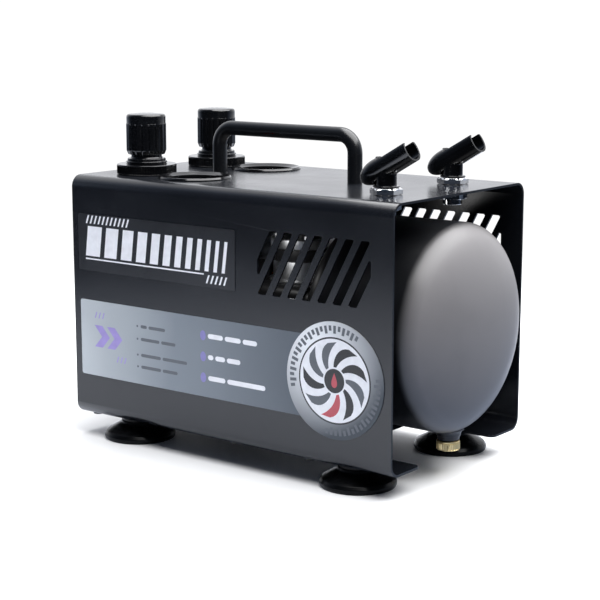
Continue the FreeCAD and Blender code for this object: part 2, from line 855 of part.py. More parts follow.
# Switch and power inlet on the end panel

rocker_pivot_x = panel_x + 3.5
rocker_tilt = 8.0


def make_rocker_switch_body():
    bezel = box(panel_x - 1.5, panel_x, switch_y - 7.5, switch_y + 7.5, switch_z - 10.8, switch_z + 10.8)
    body = box(panel_x, panel_x + 15, switch_y - 6.4, switch_y + 6.4, switch_z - 9.8, switch_z + 9.8)
    cavity = box(panel_x - 2, panel_x + 10, switch_y - 5, switch_y + 5, switch_z - 9.2, switch_z + 9.2)
    body = bezel.fuse(body).cut(cavity)
    for z in (switch_z - 5, switch_z + 5):
        blade = box(panel_x + 15, panel_x + 22, switch_y - 2.4, switch_y + 2.4, z - 0.4, z + 0.4)
        body = body.fuse(blade)
    return body


def make_rocker_button():
    outline = [(-6.0, -8.0), (-4.9, 0.0), (-6.0, 8.0), (1.0, 7.0), (4.0, 2.5), (4.0, -2.5), (1.0, -7.0)]
    points = [Vector(rocker_pivot_x + x, switch_y - 4.7, switch_z + z) for x, z in outline]
    button = Part.Face(Part.makePolygon(points + points[:1])).extrude(Vector(0, 9.4, 0))
    button.rotate(Vector(rocker_pivot_x, switch_y, switch_z), ALONG_Y, rocker_tilt)
    return button


def make_power_inlet():
    bezel = rounded_box(
        panel_x - 2.5, panel_x, inlet_y - 16, inlet_y + 16, inlet_z - 12, inlet_z + 12, ALONG_X, 2.0
    )
    body = box(panel_x, panel_x + 19, inlet_y - 13.5, inlet_y + 13.5, inlet_z - 10, inlet_z + 10)
    cavity = box(panel_x - 3, panel_x + 13.5, inlet_y - 12.2, inlet_y + 12.2, inlet_z - 8.3, inlet_z + 8.3)
    inlet = bezel.fuse(body).cut(cavity)
    for offset, rise in ((-7, -1.5), (0, 2.5), (7, -1.5)):
        pin_y = inlet_y + offset
        pin_z = inlet_z + rise
        inlet = inlet.fuse(box(panel_x + 3, panel_x + 20, pin_y - 1, pin_y + 1, pin_z - 2, pin_z + 2))
    return inlet


tank = vessel()
bodies = pair(make_regulator_body())
feet = [(x, side * foot_y) for x in foot_x for side in (-1, 1)]
mounts = [(x, side * mount_y) for x in mount_x for side in (-1, 1)]

nodes["cover"] = make_cover()
nodes["base_plate"] = make_base_plate()
nodes["end_panel"] = make_end_panel()
nodes["case_screws"] = make_case_screws()
nodes["suction_feet"] = group(make_foot(x, y) for x, y in feet)
nodes["foot_studs"] = group(make_foot_stud(x, y) for x, y in feet)
nodes["handle"] = make_handle()
nodes["name_plate"] = make_name_plate()
nodes["info_panel"] = make_info_panel()
nodes["round_badge"] = make_round_badge()
nodes["regulator_bodies"] = bodies
nodes["regulator_rings"] = pair(make_regulator_ring())
nodes["regulator_bonnets"] = pair(make_regulator_bonnet())
nodes["air_outlets"] = pair(make_air_outlet())
nodes["supply_tee"] = make_supply_tee(bodies)
nodes["air_hoses"] = make_air_hoses()
nodes["gauge_cases"] = pair(make_gauge_case())
nodes["gauge_bezels"] = pair(make_gauge_bezel())
nodes["gauge_dials"] = pair(make_gauge_dial())
nodes["gauge_lenses"] = pair(make_gauge_lens())
nodes["holder_sockets"] = pair(make_holder_socket())
nodes["tank_barrel"] = rod_x(barrel_left, barrel_right, 0, tank_z, tank_radius).cut(
    rod_x(barrel_left - 1, barrel_right + 1, 0, tank_z, tank_radius - tank_wall)
)
nodes["tank_head_right"] = make_tank_head(barrel_right, 1)
nodes["tank_head_left"] = make_tank_head(barrel_left, -1)
nodes["tank_saddle"] = make_tank_saddle(tank)
nodes["tank_fittings"] = make_tank_fittings(tank)
nodes["drain_boss"] = make_drain_boss(tank)
nodes["drain_knob"] = make_drain_knob()
nodes["safety_valve_body"] = make_safety_valve_body(tank)
nodes["safety_valve_ring"] = make_safety_valve_ring()
nodes["pressure_switch"] = make_pressure_switch(tank)
nodes["motor_bracket"] = box(-86, 22, -36, 36, bracket_bottom, bracket_top)
nodes["rubber_mounts"] = group(make_rubber_mount(x, y) for x, y in mounts)
nodes["stator_core"] = make_stator_core()
nodes["stator_windings"] = make_stator_windings()
nodes["end_bell"] = make_end_bell()
nodes["crankcase"] = make_crankcase()
nodes["crankcase_cover"] = make_crankcase_cover()
nodes["cylinder"] = make_cylinder()
nodes["valve_plate"] = make_valve_plate()
nodes["cylinder_head"] = make_cylinder_head()
nodes["intake_filter"] = make_intake_filter()
nodes["shaft_bearings"] = make_shaft_bearings()
nodes["motor_shaft"] = rod_x(stator_left - 27, pump_x - 6, 0, shaft_z, shaft_radius)
nodes["rotor_core"] = shaft_ring(stator_left - 1, stator_right + 1, rotor_radius, shaft_radius)
nodes["fan"] = make_fan()
nodes["crank_disc"] = make_crank_disc()
nodes["connecting_rod"] = make_connecting_rod()
nodes["piston"] = make_piston()
nodes["rocker_switch_body"] = make_rocker_switch_body()
nodes["rocker_button"] = make_rocker_button()
nodes["power_inlet"] = make_power_inlet()
for place, turn_over in (("front", False), ("rear", True)):
    for name, make in (
        ("regulator_stem", make_regulator_stem),
        ("regulator_knob", make_regulator_knob),
        ("airbrush_holder", make_airbrush_holder),
    ):
        shape = make()
        nodes[name + "_" + place] = mirrored(shape) if turn_over else shape
nodes["gauge_needle_front"] = make_gauge_needle(-gauge_y)
nodes["gauge_needle_rear"] = make_gauge_needle(gauge_y)

for name, shape in nodes.items():
    if not shape.isValid():
        print("not valid:", name)
    shape.exportStep("parts/" + name + ".step")
print(len(nodes), "nodes")
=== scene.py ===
import math

import bmesh
import bpy
from mathutils import Matrix, Vector


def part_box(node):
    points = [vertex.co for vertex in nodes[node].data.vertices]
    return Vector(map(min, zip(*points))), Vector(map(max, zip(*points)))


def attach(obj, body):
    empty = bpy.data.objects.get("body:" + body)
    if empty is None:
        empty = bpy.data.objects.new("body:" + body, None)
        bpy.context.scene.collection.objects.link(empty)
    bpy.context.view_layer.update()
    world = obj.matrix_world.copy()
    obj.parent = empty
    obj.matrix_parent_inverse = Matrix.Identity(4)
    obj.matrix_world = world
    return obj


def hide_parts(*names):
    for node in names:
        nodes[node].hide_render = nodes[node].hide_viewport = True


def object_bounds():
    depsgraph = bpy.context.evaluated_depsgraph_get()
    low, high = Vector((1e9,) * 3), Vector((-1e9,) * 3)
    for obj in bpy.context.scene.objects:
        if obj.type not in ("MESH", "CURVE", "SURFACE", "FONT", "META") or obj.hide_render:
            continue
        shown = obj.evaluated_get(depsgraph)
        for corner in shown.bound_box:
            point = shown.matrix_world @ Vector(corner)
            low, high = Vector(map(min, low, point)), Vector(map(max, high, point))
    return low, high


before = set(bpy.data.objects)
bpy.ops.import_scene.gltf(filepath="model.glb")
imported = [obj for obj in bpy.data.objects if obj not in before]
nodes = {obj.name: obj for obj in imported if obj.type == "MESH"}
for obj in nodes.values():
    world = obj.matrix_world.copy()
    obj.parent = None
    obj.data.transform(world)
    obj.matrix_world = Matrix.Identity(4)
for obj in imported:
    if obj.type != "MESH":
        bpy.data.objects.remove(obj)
cad_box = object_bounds()

MM = 0.001
TAU = 2 * math.pi
INK = 0.06 * MM
SIDES = {"front": -1, "rear": 1}
UPRIGHT = Matrix.Identity(3)
POINTING_RIGHT = Matrix(((0, 0, 1), (0, 1, 0), (-1, 0, 0)))

# ---- places read from the frame


def centre_of(node_name):
    low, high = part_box(node_name)
    return (low + high) / 2


def at_height(point, height):
    return Vector((point.x, point.y, height))


def foot_of(node_name):
    """The middle of a node's underside."""
    return at_height(centre_of(node_name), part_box(node_name)[0].z)


case_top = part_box("cover")[1].z

# ---- materials: the node helpers

SHADE = (0.70, 0.92, 1.35)
DAYLIGHT = (0.97, 0.985, 1.03)


class Nodes:
    """A node tree, with short ways to add nodes and to feed their sockets."""

    def __init__(self, tree):
        self.tree = tree

    def add(self, kind, **settings):
        node = self.tree.nodes.new(kind)
        for key, value in settings.items():
            setattr(node, key, value)
        return node

    def feed(self, node, values):
        """Link or set a node's sockets; a colour is given without its alpha."""
        for key, value in values.items():
            socket = node.inputs[key]
            if isinstance(value, bpy.types.NodeSocket):
                self.tree.links.new(value, socket)
            elif socket.type == "RGBA":
                socket.default_value = (*value, 1.0)
            else:
                socket.default_value = value

    def levels(self, value, low, high, start=0.3, end=0.7, curve="LINEAR"):
        """The value, mapped from start..end to low..high and held there."""
        node = self.add("ShaderNodeMapRange", interpolation_type=curve)
        limits = {"From Min": start, "From Max": end, "To Min": low, "To Max": high}
        self.feed(node, {"Value": value, **limits})
        return node.outputs["Result"]

    def sum(self, *values, operation="ADD"):
        """The values added up, or multiplied where the operation says so."""
        total = values[0]
        for value in values[1:]:
            node = self.add("ShaderNodeMath", operation=operation)
            self.feed(node, {0: total, 1: value})
            total = node.outputs[0]
        return total

    def blend(self, share, first, second):
        """A colour between two colours."""
        node = self.add("ShaderNodeMix", data_type="RGBA")
        self.feed(node, {"Factor": share, "A": first, "B": second})
        return node.outputs["Result"]

    def toward(self, vector, direction):
        """How far the vector reaches in a direction."""
        node = self.add("ShaderNodeVectorMath", operation="DOT_PRODUCT")
        self.feed(node, {0: vector, 1: Vector(direction).normalized()})
        return node.outputs["Value"]

    def tinted(self, brightness):
        """A grey of that brightness, bluer where it is darker."""
        node = self.add("ShaderNodeVectorMath", operation="SCALE")
        self.feed(node, {0: self.blend(brightness, SHADE, DAYLIGHT), "Scale": brightness})
        return node.outputs["Vector"]

    def to_camera(self, reflected, shown):
        """One colour for the object's gloss and light, and another where the camera looks straight at it."""
        seen = self.add("ShaderNodeLightPath").outputs["Is Camera Ray"]
        return self.blend(seen, reflected, shown)


class Finish(Nodes):
    """One procedural material: its shader, and the patterns that feed it."""

    def __init__(self, name, **sockets):
        self.material = bpy.data.materials.new(name)
        self.material.use_nodes = True
        super().__init__(self.material.node_tree)
        self.shader = next(n for n in self.tree.nodes if n.type == "BSDF_PRINCIPLED")
        self.place = self.add("ShaderNodeTexCoord").outputs["Object"]
        self.set(**sockets)

    def set(self, **sockets):
        """Feed the shader: base_color becomes the socket Base Color, and so on."""
        for key, value in sockets.items():
            words = [w if w == "IOR" else w.capitalize() for w in key.split("_")]
            self.feed(self.shader, {" ".join(words): value})

    def stretched(self, x=1.0, centre=(0, 0, 0)):
        """Object space moved to a centre and stretched along X."""
        shift = self.add("ShaderNodeVectorMath", operation="SUBTRACT")
        self.feed(shift, {0: self.place, 1: centre})
        scale = self.add("ShaderNodeVectorMath", operation="MULTIPLY")
        self.feed(scale, {0: shift.outputs[0], 1: (x, 1.0, 1.0)})
        return scale.outputs[0]

    def noise(self, size, detail=2.0, place=None):
        """Soft noise whose lumps are about size metres across."""
        node = self.add("ShaderNodeTexNoise")
        self.feed(node, {"Vector": place or self.place, "Scale": 1 / size, "Detail": detail})
        return node.outputs[0]

    def cells(self, size):
        node = self.add("ShaderNodeTexVoronoi")
        self.feed(node, {"Vector": self.place, "Scale": 1 / size})
        return node.outputs["Distance"]

    def bands(self, pitch, axis, place=None, kind="BANDS", distortion=0.0):
        """Waves with that pitch in metres, along an axis or as rings about it."""
        node = self.add("ShaderNodeTexWave", wave_type=kind)
        if kind == "BANDS":
            node.bands_direction = axis
        else:
            node.rings_direction = axis
        scale = 0.314 / pitch
        self.feed(node, {"Vector": place or self.place, "Scale": scale, "Distortion": distortion})
        return node.outputs["Fac"]

    def mottled(self, pattern, colour, dark, pale):
        """The colour, between dark and pale times itself as the pattern runs."""
        return self.blend(self.levels(pattern, 0.0, 1.0), scaled(colour, dark), scaled(colour, pale))

    def varied(self, pattern, value, spread, start=0.7, end=1.3):
        """A number that strays by spread to either side as the pattern runs."""
        return self.levels(pattern, value - spread, value + spread, start, end)

    def ramp(self, value, *stops):
        """A colour ramp of (position, colour) stops."""
        node = self.add("ShaderNodeValToRGB")
        elements = node.color_ramp.elements
        while len(elements) < len(stops):
            elements.new(1.0)
        for element, (position, colour) in zip(elements, stops):
            element.position = position
            element.color = (*colour, 1.0)
        self.feed(node, {"Fac": value})
        return node.outputs["Color"]

    def along_x(self, start, end):
        """0 to 1 from start to end along X, in metres."""
        split = self.add("ShaderNodeSeparateXYZ")
        self.feed(split, {0: self.place})
        return self.levels(split.outputs["X"], 0.0, 1.0, start, end)

    def distance(self, centre):
        """The distance from a centre, in metres."""
        node = self.add("ShaderNodeVectorMath", operation="LENGTH")
        self.feed(node, {0: self.stretched(centre=centre)})
        return node.outputs["Value"]

    def bump(self, height, depth, after=None):
        """Raise the surface by height times depth metres, after an earlier bump."""
        node = self.add("ShaderNodeBump")
        self.feed(node, {"Strength": 1.0, "Distance": depth, "Height": height})
        if after:
            self.feed(node, {"Normal": after})
        self.feed(self.shader, {"Normal": node.outputs["Normal"]})
        return node.outputs["Normal"]


def scaled(colour, factor):
    return tuple(channel * factor for channel in colour)


# ---- materials: the finishes


def powder_coat(name, colour, roughness, peel=0.9 * MM, depth=0.02 * MM):
    """Baked paint: soft orange peel, a finer grain over it, and faint clouds in tone and gloss."""
    finish = Finish(name)
    clouds = finish.noise(60 * MM, 3.0)
    orange_peel = finish.noise(peel)
    grain = finish.noise(0.25 * MM)
    finish.set(
        base_color=finish.mottled(clouds, colour, 0.88, 1.12),
        roughness=finish.varied(finish.sum(clouds, grain), roughness, 0.05),
    )
    first = finish.bump(orange_peel, depth)
    finish.bump(grain, depth * 0.25, after=first)
    return finish.material


def shaded_paint(name, painted_shade_colour, shown, roughness):
    """The tank's satin paint, with painted shade: dark on the barrel inside the case, rising over the dome's
    rim to the full tone of the domed end.
    """
    finish = Finish(name)
    low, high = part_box("tank_head_right")
    clouds = finish.noise(45 * MM, 3.0)
    grain = finish.noise(0.3 * MM)
    shade_ends_at = low.x + 0.45 * (high.x - low.x)
    # Painted shade: the colour runs along X from the shade colour on the barrel to the full paint colour,
    # standing in for the case's shadow on the tank.
    run = finish.sum(finish.along_x(low.x, shade_ends_at), finish.levels(clouds, -0.1, 0.1))
    finish.set(
        base_color=finish.ramp(run, (0.0, painted_shade_colour), (0.6, scaled(shown, 0.7)), (1.0, shown)),
        roughness=finish.varied(finish.sum(clouds, grain), roughness, 0.05),
    )
    finish.bump(grain, 0.004 * MM)
    return finish.material


def moulded(name, colour, roughness, texture=0.35 * MM, depth=0.006 * MM, gloss=0.5):
    """Moulded plastic or rubber: even colour, a faint flow pattern and fine texture."""
    finish = Finish(name, specular_IOR_level=gloss)
    flow = finish.noise(14 * MM)
    skin = finish.noise(texture, 3.0)
    finish.set(
        base_color=finish.mottled(flow, colour, 0.85, 1.15),
        roughness=finish.varied(finish.sum(flow, skin), roughness, 0.04),
    )
    finish.bump(skin, depth)
    return finish.material


def bare_metal(name, colour, roughness, pitch, depth, spread=0.05):
    """Metal with fine marks of the tool that cut or rolled it, and slight staining."""
    finish = Finish(name, metallic=1.0)
    stain = finish.noise(9 * MM, 4.0)
    marks = finish.bands(pitch, "Z", distortion=1.5)
    finish.set(
        base_color=finish.mottled(stain, colour, 0.86, 1.04),
        roughness=finish.varied(finish.sum(stain, marks), roughness, spread, 0.5, 1.5),
    )
    finish.bump(marks, depth)
    return finish.material


def cast_metal(name, colour, roughness):
    """A die casting: granular skin with smooth clouds."""
    finish = Finish(name, metallic=1.0)
    stain = finish.noise(12 * MM, 4.0)
    skin = finish.noise(0.7 * MM, 3.0)
    finish.set(
        base_color=finish.mottled(stain, colour, 0.8, 1.05),
        roughness=finish.varied(skin, roughness, 0.08, 0.3, 0.7),
    )
    finish.bump(skin, 0.05 * MM)
    return finish.material


def laminated_steel(name, colour):
    """Stacked half-millimetre sheets, seen from their edges."""
    finish = Finish(name, metallic=1.0)
    sheets = finish.bands(0.5 * MM, "X")
    stain = finish.noise(6 * MM, 4.0)
    share = finish.levels(finish.sum(sheets, stain), 0.0, 1.0, 0.5, 1.4)
    finish.set(
        base_color=finish.blend(share, scaled(colour, 0.45), colour),
        roughness=finish.levels(stain, 0.38, 0.55),
    )
    finish.bump(sheets, 0.06 * MM)
    return finish.material


def wound_copper(name, colour):
    """Lacquered wire wound in turns about the shaft."""
    finish = Finish(name, metallic=0.85)
    about_shaft = finish.stretched(centre=centre_of("motor_shaft"))
    wires = finish.bands(0.9 * MM, "X", about_shaft, kind="RINGS", distortion=1.0)
    lacquer = finish.noise(5 * MM, 3.0)
    finish.set(
        base_color=finish.mottled(wires, colour, 0.35, 1.0),
        roughness=finish.levels(lacquer, 0.22, 0.42),
    )
    finish.bump(wires, 0.12 * MM)
    return finish.material


def clear_glass(name):
    """A flat gauge glass, very slightly uneven and smeared."""
    finish = Finish(name, base_color=(0.98, 0.99, 1.0), transmission_weight=1.0, IOR=1.45)
    smear = finish.noise(8 * MM, 3.0)
    finish.set(roughness=finish.levels(smear, 0.0, 0.05))
    finish.bump(smear, 0.01 * MM)
    return finish.material


def printed(name, colour, roughness):
    """Screen-printed ink: nearly flat colour with a fine screen and soft density changes."""
    finish = Finish(name)
    density = finish.noise(5 * MM, 3.0)
    screen = finish.cells(0.22 * MM)
    finish.set(
        base_color=finish.mottled(density, colour, 0.94, 1.06),
        roughness=finish.varied(screen, roughness, 0.05, 0.1, 0.6),
    )
    finish.bump(screen, 0.004 * MM)
    return finish.material


def graded_label(name, left, middle, right):
    """The wide label's foil: a tone that runs along its length, under a matt film."""
    finish = Finish(name, metallic=0.25)
    low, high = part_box("info_panel")
    shift = finish.levels(finish.noise(70 * MM), -0.04, 0.04)
    run = finish.sum(finish.along_x(low.x, high.x), shift)
    film = finish.noise(0.3 * MM)
    finish.set(
        base_color=finish.ramp(run, (0.0, left), (0.45, middle), (1.0, right)),
        roughness=finish.levels(film, 0.38, 0.5),
    )
    finish.bump(film, 0.004 * MM)
    return finish.material


def badge_foil(name, pale, dark):
    """The round badge's foil: brushed slightly, pale at the upper left and darker below right."""
    finish = Finish(name, metallic=0.2)
    low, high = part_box("round_badge")
    radius = (high.x - low.x) / 2
    bright_spot = Vector((low.x + 0.6 * radius, low.y, high.z - 0.5 * radius))
    fade = finish.levels(finish.distance(bright_spot), 0.0, 1.0, 0.2 * radius, 1.5 * radius)
    brushed = finish.noise(0.4 * MM, 2.0, finish.stretched(x=0.05))
    finish.set(
        base_color=finish.ramp(fade, (0.0, pale), (1.0, dark)),
        roughness=finish.levels(brushed, 0.32, 0.46),
    )
    finish.bump(brushed, 0.004 * MM)
    return finish.material


def extruded_hose(name, colour):
    """Smooth polyurethane tube with a faint extruder pattern."""
    finish = Finish(name)
    flow = finish.noise(1.2 * MM, 3.0)
    finish.set(
        base_color=finish.mottled(flow, colour, 0.8, 1.2),
        roughness=finish.levels(flow, 0.28, 0.4),
    )
    finish.bump(flow, 0.02 * MM)
    return finish.material


all_finishes = (
    powder_coat("powder_black", (0.0060, 0.0070, 0.0095), 0.235),
    powder_coat("handle_black", (0.0050, 0.0056, 0.0070), 0.28, depth=0.01 * MM),
    shaded_paint("tank_paint", (0.006, 0.0065, 0.008), (0.178, 0.170, 0.172), 0.42),
    moulded("black_rubber", (0.0020, 0.0022, 0.0026), 0.27, gloss=0.12),
    extruded_hose("hose", (0.016, 0.016, 0.018)),
    moulded("gloss_black", (0.0030, 0.0032, 0.0038), 0.16, 0.6 * MM, 0.003 * MM),
    moulded("matte_black", (0.016, 0.016, 0.018), 0.50, depth=0.015 * MM),
    moulded("rocker_black", (0.010, 0.010, 0.011), 0.22),
    bare_metal("chrome", (0.86, 0.87, 0.89), 0.09, 0.25 * MM, 0.0008 * MM, spread=0.03),
    bare_metal("zinc_steel", (0.60, 0.61, 0.63), 0.30, 0.4 * MM, 0.004 * MM),
    bare_metal("brass", (0.96, 0.75, 0.38), 0.34, 0.3 * MM, 0.004 * MM),
    cast_metal("cast_aluminium", (0.80, 0.81, 0.83), 0.36),
    powder_coat("pump_paint", (0.022, 0.022, 0.024), 0.42, 1.4 * MM, 0.06 * MM),
    laminated_steel("lamination", (0.42, 0.42, 0.43)),
    wound_copper("winding", (0.78, 0.34, 0.14)),
    clear_glass("glass"),
    moulded("dial_black", (0.0055, 0.0060, 0.0075), 0.42),
    printed("needle_red", (0.55, 0.018, 0.012), 0.30),
    powder_coat("name_gloss", (0.014, 0.015, 0.018), 0.30, depth=0.004 * MM),
    graded_label("info_silver", (0.52, 0.55, 0.56), (0.220, 0.248, 0.275), (0.097, 0.113, 0.132)),
    badge_foil("badge_silver", (0.86, 0.87, 0.88), (0.040, 0.050, 0.062)),
)

# The frame's own materials have these names too, so Blender adds a number to each of these.
finishes = {material.name.split(".")[0]: material for material in all_finishes}
slot_of = {}
for node_name, node in nodes.items():
    slot = node.material_slots[0]
    slot_of[node_name] = slot.material.name.split(".")[0]
    slot.material = finishes[slot_of[node_name]]

# ---- mesh helpers: outlines are in millimetres


def rounded(corners, steps=5):
    """Outline points from (radius, height, rounding) corners, each corner turned into a curve."""
    points = []
    for i, corner in enumerate(corners):
        here = Vector(corner[:2])
        if len(corner) < 3:
            points.append(here)
            continue
        before = Vector(corners[i - 1][:2]) - here
        after = Vector(corners[i + 1][:2]) - here
        reach = corner[2] / math.tan(before.angle(after) / 2)
        reach = min(reach, 0.49 * before.length, 0.49 * after.length)
        start = here + before.normalized() * reach
        end = here + after.normalized() * reach
        for k in range(steps + 1):
            t = k / steps
            points.append(start * (1 - t) ** 2 + here * 2 * t * (1 - t) + end * t * t)
    return points


def circle(radius, height, centre, turn=UPRIGHT, steps=96, shape=None):
    """Points round the line through centre; a single point where the radius is nothing."""
    if radius < 0.0001:
        return [centre + turn @ Vector((0, 0, height * MM))]
    points = []
    for i in range(steps):
        angle = TAU * i / steps
        r = shape(radius, height, angle) if shape else radius
        points.append(centre + turn @ Vector((r * math.cos(angle), r * math.sin(angle), height)) * MM)
    return points


def join_circles(bm, circles, closed=False):
    """Skin a stack of circles; a circle of one point closes the end to a tip."""
    rings = [[bm.verts.new(point) for point in points] for points in circles]
    steps = max(len(ring) for ring in rings)
    pairs = list(zip(rings, rings[1:]))
    if closed:
        pairs.append((rings[-1], rings[0]))
    for lower, upper in pairs:
        for i in range(steps):
            j = (i + 1) % steps
            corners = [lower[i % len(lower)], lower[j % len(lower)]]
            corners += [upper[j % len(upper)], upper[i % len(upper)]]
            unique = list(dict.fromkeys(corners))
            if len(unique) > 2:
                bm.faces.new(unique)


def lathe(bm, outline, centre, turn=UPRIGHT, steps=96, shape=None, closed=False):
    """Turn (radius, height) points about the line through centre. shape changes each radius."""
    circles = [circle(radius, height, centre, turn, steps, shape) for radius, height in outline]
    join_circles(bm, circles, closed)


def knurled(radius, start, end, teeth, depth):
    """A lathe shape: teeth cut into the outermost radius between two heights."""
    def shape(r, height, angle):
        if r < radius - 0.05 or not start < height < end:
            return r
        return r - depth * abs((teeth * angle / TAU) % 1 - 0.5) * 2
    return shape


def hexagonal(flats, inside):
    """A lathe shape: radii over inside are held within a hexagon of that width across flats."""
    def shape(radius, height, angle):
        if radius < inside:
            return radius
        turn = (angle + math.pi / 6) % (math.pi / 3) - math.pi / 6
        return min(radius, flats / 2 / math.cos(turn))
    return shape


def prism(bm, near, far):
    """A closed block between two outlines of the same number of corners, in metres."""
    first = [bm.verts.new(corner) for corner in near]
    second = [bm.verts.new(corner) for corner in far]
    bm.faces.new(first)
    bm.faces.new(list(reversed(second)))
    for i in range(len(first)):
        j = (i + 1) % len(first)
        bm.faces.new([first[i], second[i], second[j], first[j]])


def bevel(thing, width, angle):
    soft = thing.modifiers.new("soft_edges", "BEVEL")
    soft.width = width
    soft.segments = 3
    soft.limit_method = "ANGLE"
    soft.angle_limit = math.radians(angle)
    soft.use_clamp_overlap = True
    soft.harden_normals = True


def add_object(name, data):
    thing = bpy.data.objects.new(name, data)
    bpy.context.scene.collection.objects.link(thing)
    return thing


def add_mesh(name, bm):
    mesh = bpy.data.meshes.new(name)
    bm.to_mesh(mesh)
    bm.free()
    return mesh


def finish_piece(name, bm, slot_name, body, replaced=(), material=None, crease=38, edges=0.0):
    """Turn a bmesh into a piece that rides on a body and may stand for CAD nodes."""
    bmesh.ops.recalc_face_normals(bm, faces=bm.faces)
    mesh = add_mesh(name, bm)
    mesh.shade_smooth()
    mesh.set_sharp_from_angle(angle=math.radians(crease))
    mesh.materials.append(material or finishes[slot_name])
    piece = add_object(name, mesh)
    if edges:
        bevel(piece, edges, crease)
    even = piece.modifiers.new("even_shading", "WEIGHTED_NORMAL")
    even.keep_sharp = True
    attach(piece, body)
    if replaced:
        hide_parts(*replaced)


# ---- softened edges of the CAD nodes

EDGE_ANGLE = 32
EDGE_WIDTHS_MM = {
    "cover": 0.55, "base_plate": 0.3, "end_panel": 0.3, "case_screws": 0.5, "foot_studs": 0.3,
    "regulator_bodies": 0.6, "air_outlets": 0.35, "gauge_cases": 0.3,
    "tank_saddle": 0.3, "tank_fittings": 0.5, "safety_valve_body": 0.4, "pressure_switch": 0.8,
    "motor_bracket": 0.3, "rubber_mounts": 0.5, "end_bell": 0.8, "crankcase": 0.8,
    "crankcase_cover": 0.5, "cylinder": 0.4, "valve_plate": 0.3, "cylinder_head": 0.5,
    "intake_filter": 0.4, "fan": 0.3, "rocker_switch_body": 0.4, "rocker_button": 0.4,
    "power_inlet": 0.3, "name_plate": 0.08, "info_panel": 0.08, "round_badge": 0.12,
}


def soften(node_name, width):
    """Round the sharp edges of a CAD node with modifiers, so that they catch the light."""
    weld = nodes[node_name].modifiers.new("weld", "WELD")
    weld.merge_threshold = 1e-6
    bevel(nodes[node_name], width, EDGE_ANGLE)


for softened, edge_width in EDGE_WIDTHS_MM.items():
    soften(softened, edge_width * MM)

# ---- regulators

KNOB_FLUTES = 18
FLUTE_SHARE = 0.42
FLUTE_DEPTH = 0.62
RING_TEETH = 72
RING_TOOTH_DEPTH = 0.65


def window(value, start, end, run):
    """1 between start and end, falling to 0 along a quarter ellipse of length run outside them."""
    outside = max(start - value, value - end, 0.0) / run
    return math.sqrt(max(0.0, 1.0 - outside * outside))


def make_regulator_knob(place):
    """The fluted knob, whose smooth band at the top is a little narrower than its ribs."""
    low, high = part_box("regulator_knob_" + place)
    radius = (high.x - low.x) / 2 / MM
    top = (high.z - low.z) / MM
    band = radius - 0.25
    rib_start = 3.4
    rib_end = 18.4
    bore = 10.75
    bore_top = 8.8
    stem = 3.6
    stem_top = 17.8
    outline = [(0, top), (7.0, top - 0.12), (band, top - 0.7, 2.0), (band, rib_end + 2.4)]
    outline += [(radius, rib_end + k * 0.3) for k in range(7, -1, -1)]
    outline += [(radius, rib_start - k * 0.25) for k in (0, 1, 2)]
    outline += [(radius - 0.2, 2.3), (12.2, 0.0, 0.6), (bore, 0.0)]
    outline += [(bore, bore_top), (stem, bore_top), (stem, stem_top), (0, stem_top)]

    def fluted(r, height, angle):
        if r < band - 0.3:
            return r
        across = abs(math.sin(KNOB_FLUTES * angle / 2)) / FLUTE_SHARE
        groove = max(0.0, 1 - across * across)
        return r - FLUTE_DEPTH * groove * window(height, rib_start, rib_end, 2.0)

    bm = bmesh.new()
    lathe(bm, rounded(outline, 6), foot_of("regulator_knob_" + place), steps=288, shape=fluted)
    finish_piece(
        "regulator_knob_cap_" + place, bm, "gloss_black", "knob_" + place,
        ["regulator_knob_" + place], crease=50,
    )


def make_regulator_rings():
    """The knurled nuts that hold the regulators in the top of the case."""
    low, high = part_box("regulator_rings")
    height = (high.z - low.z) / MM
    radius = 20.0
    bore = 13.75
    knurl_end = height - 1.2
    outline = rounded([
        (bore, 0), (radius - 0.7, 0), (radius, 0.6), (radius, 0.9), (radius, knurl_end),
        (radius, knurl_end + 0.35), (radius - 0.15, height, 0.6), (bore, height),
    ])
    teeth = knurled(radius, 0.8, knurl_end + 0.1, RING_TEETH, RING_TOOTH_DEPTH)
    bm = bmesh.new()
    for place in SIDES:
        base = at_height(centre_of("regulator_knob_" + place), case_top)
        lathe(bm, outline, base, steps=RING_TEETH * 6, shape=teeth, closed=True)
    finish_piece("regulator_ring_nuts", bm, "gloss_black", "case", ["regulator_rings"], crease=30)


def make_regulator_bonnets():
    """The stepped collars under the knobs, with the body's neck inside them."""
    low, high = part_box("regulator_bonnets")
    bottom = (low.z - case_top) / MM
    top = (high.z - case_top) / MM
    outline = rounded([
        (0, bottom), (13.7, bottom), (13.7, 7.1), (13.3, 7.35), (13.3, 7.65), (13.7, 7.9),
        (13.7, 8.8, 0.5), (12.75, 8.8, 0.15), (12.75, 10.7, 0.6), (10.9, 10.7, 0.3), (10.5, 11.6, 0.3),
        (10.2, 11.8), (10.2, top), (3.6, top), (3.6, 2.0), (0, 2.0),
    ], 4)
    bm = bmesh.new()
    for place in SIDES:
        lathe(bm, outline, at_height(centre_of("regulator_knob_" + place), case_top), steps=128)
    finish_piece("regulator_collars", bm, "gloss_black", "case", ["regulator_bonnets"])


make_regulator_rings()
make_regulator_bonnets()
for knob_place in SIDES:
    make_regulator_knob(knob_place)

# ---- airbrush holders

CRADLE_TILT = math.radians(30)
CRADLE_POWER = 2.3
CRADLE_AXIS = 4.6 * MM
CRADLE_TIP = -18.1 * MM
CRADLE_MOUTH = 23.4 * MM
CRADLE_SLOT = 0.3 * MM
SLOT_FLOOR = 9.4 * MM
SLOT_CELLS = 20
SIDE_CELLS = 76
PIVOT_HEIGHT = 12 * MM
ALONG = Vector((math.cos(CRADLE_TILT), 0, math.sin(CRADLE_TILT)))
NORMAL = Vector((-math.sin(CRADLE_TILT), 0, math.cos(CRADLE_TILT)))


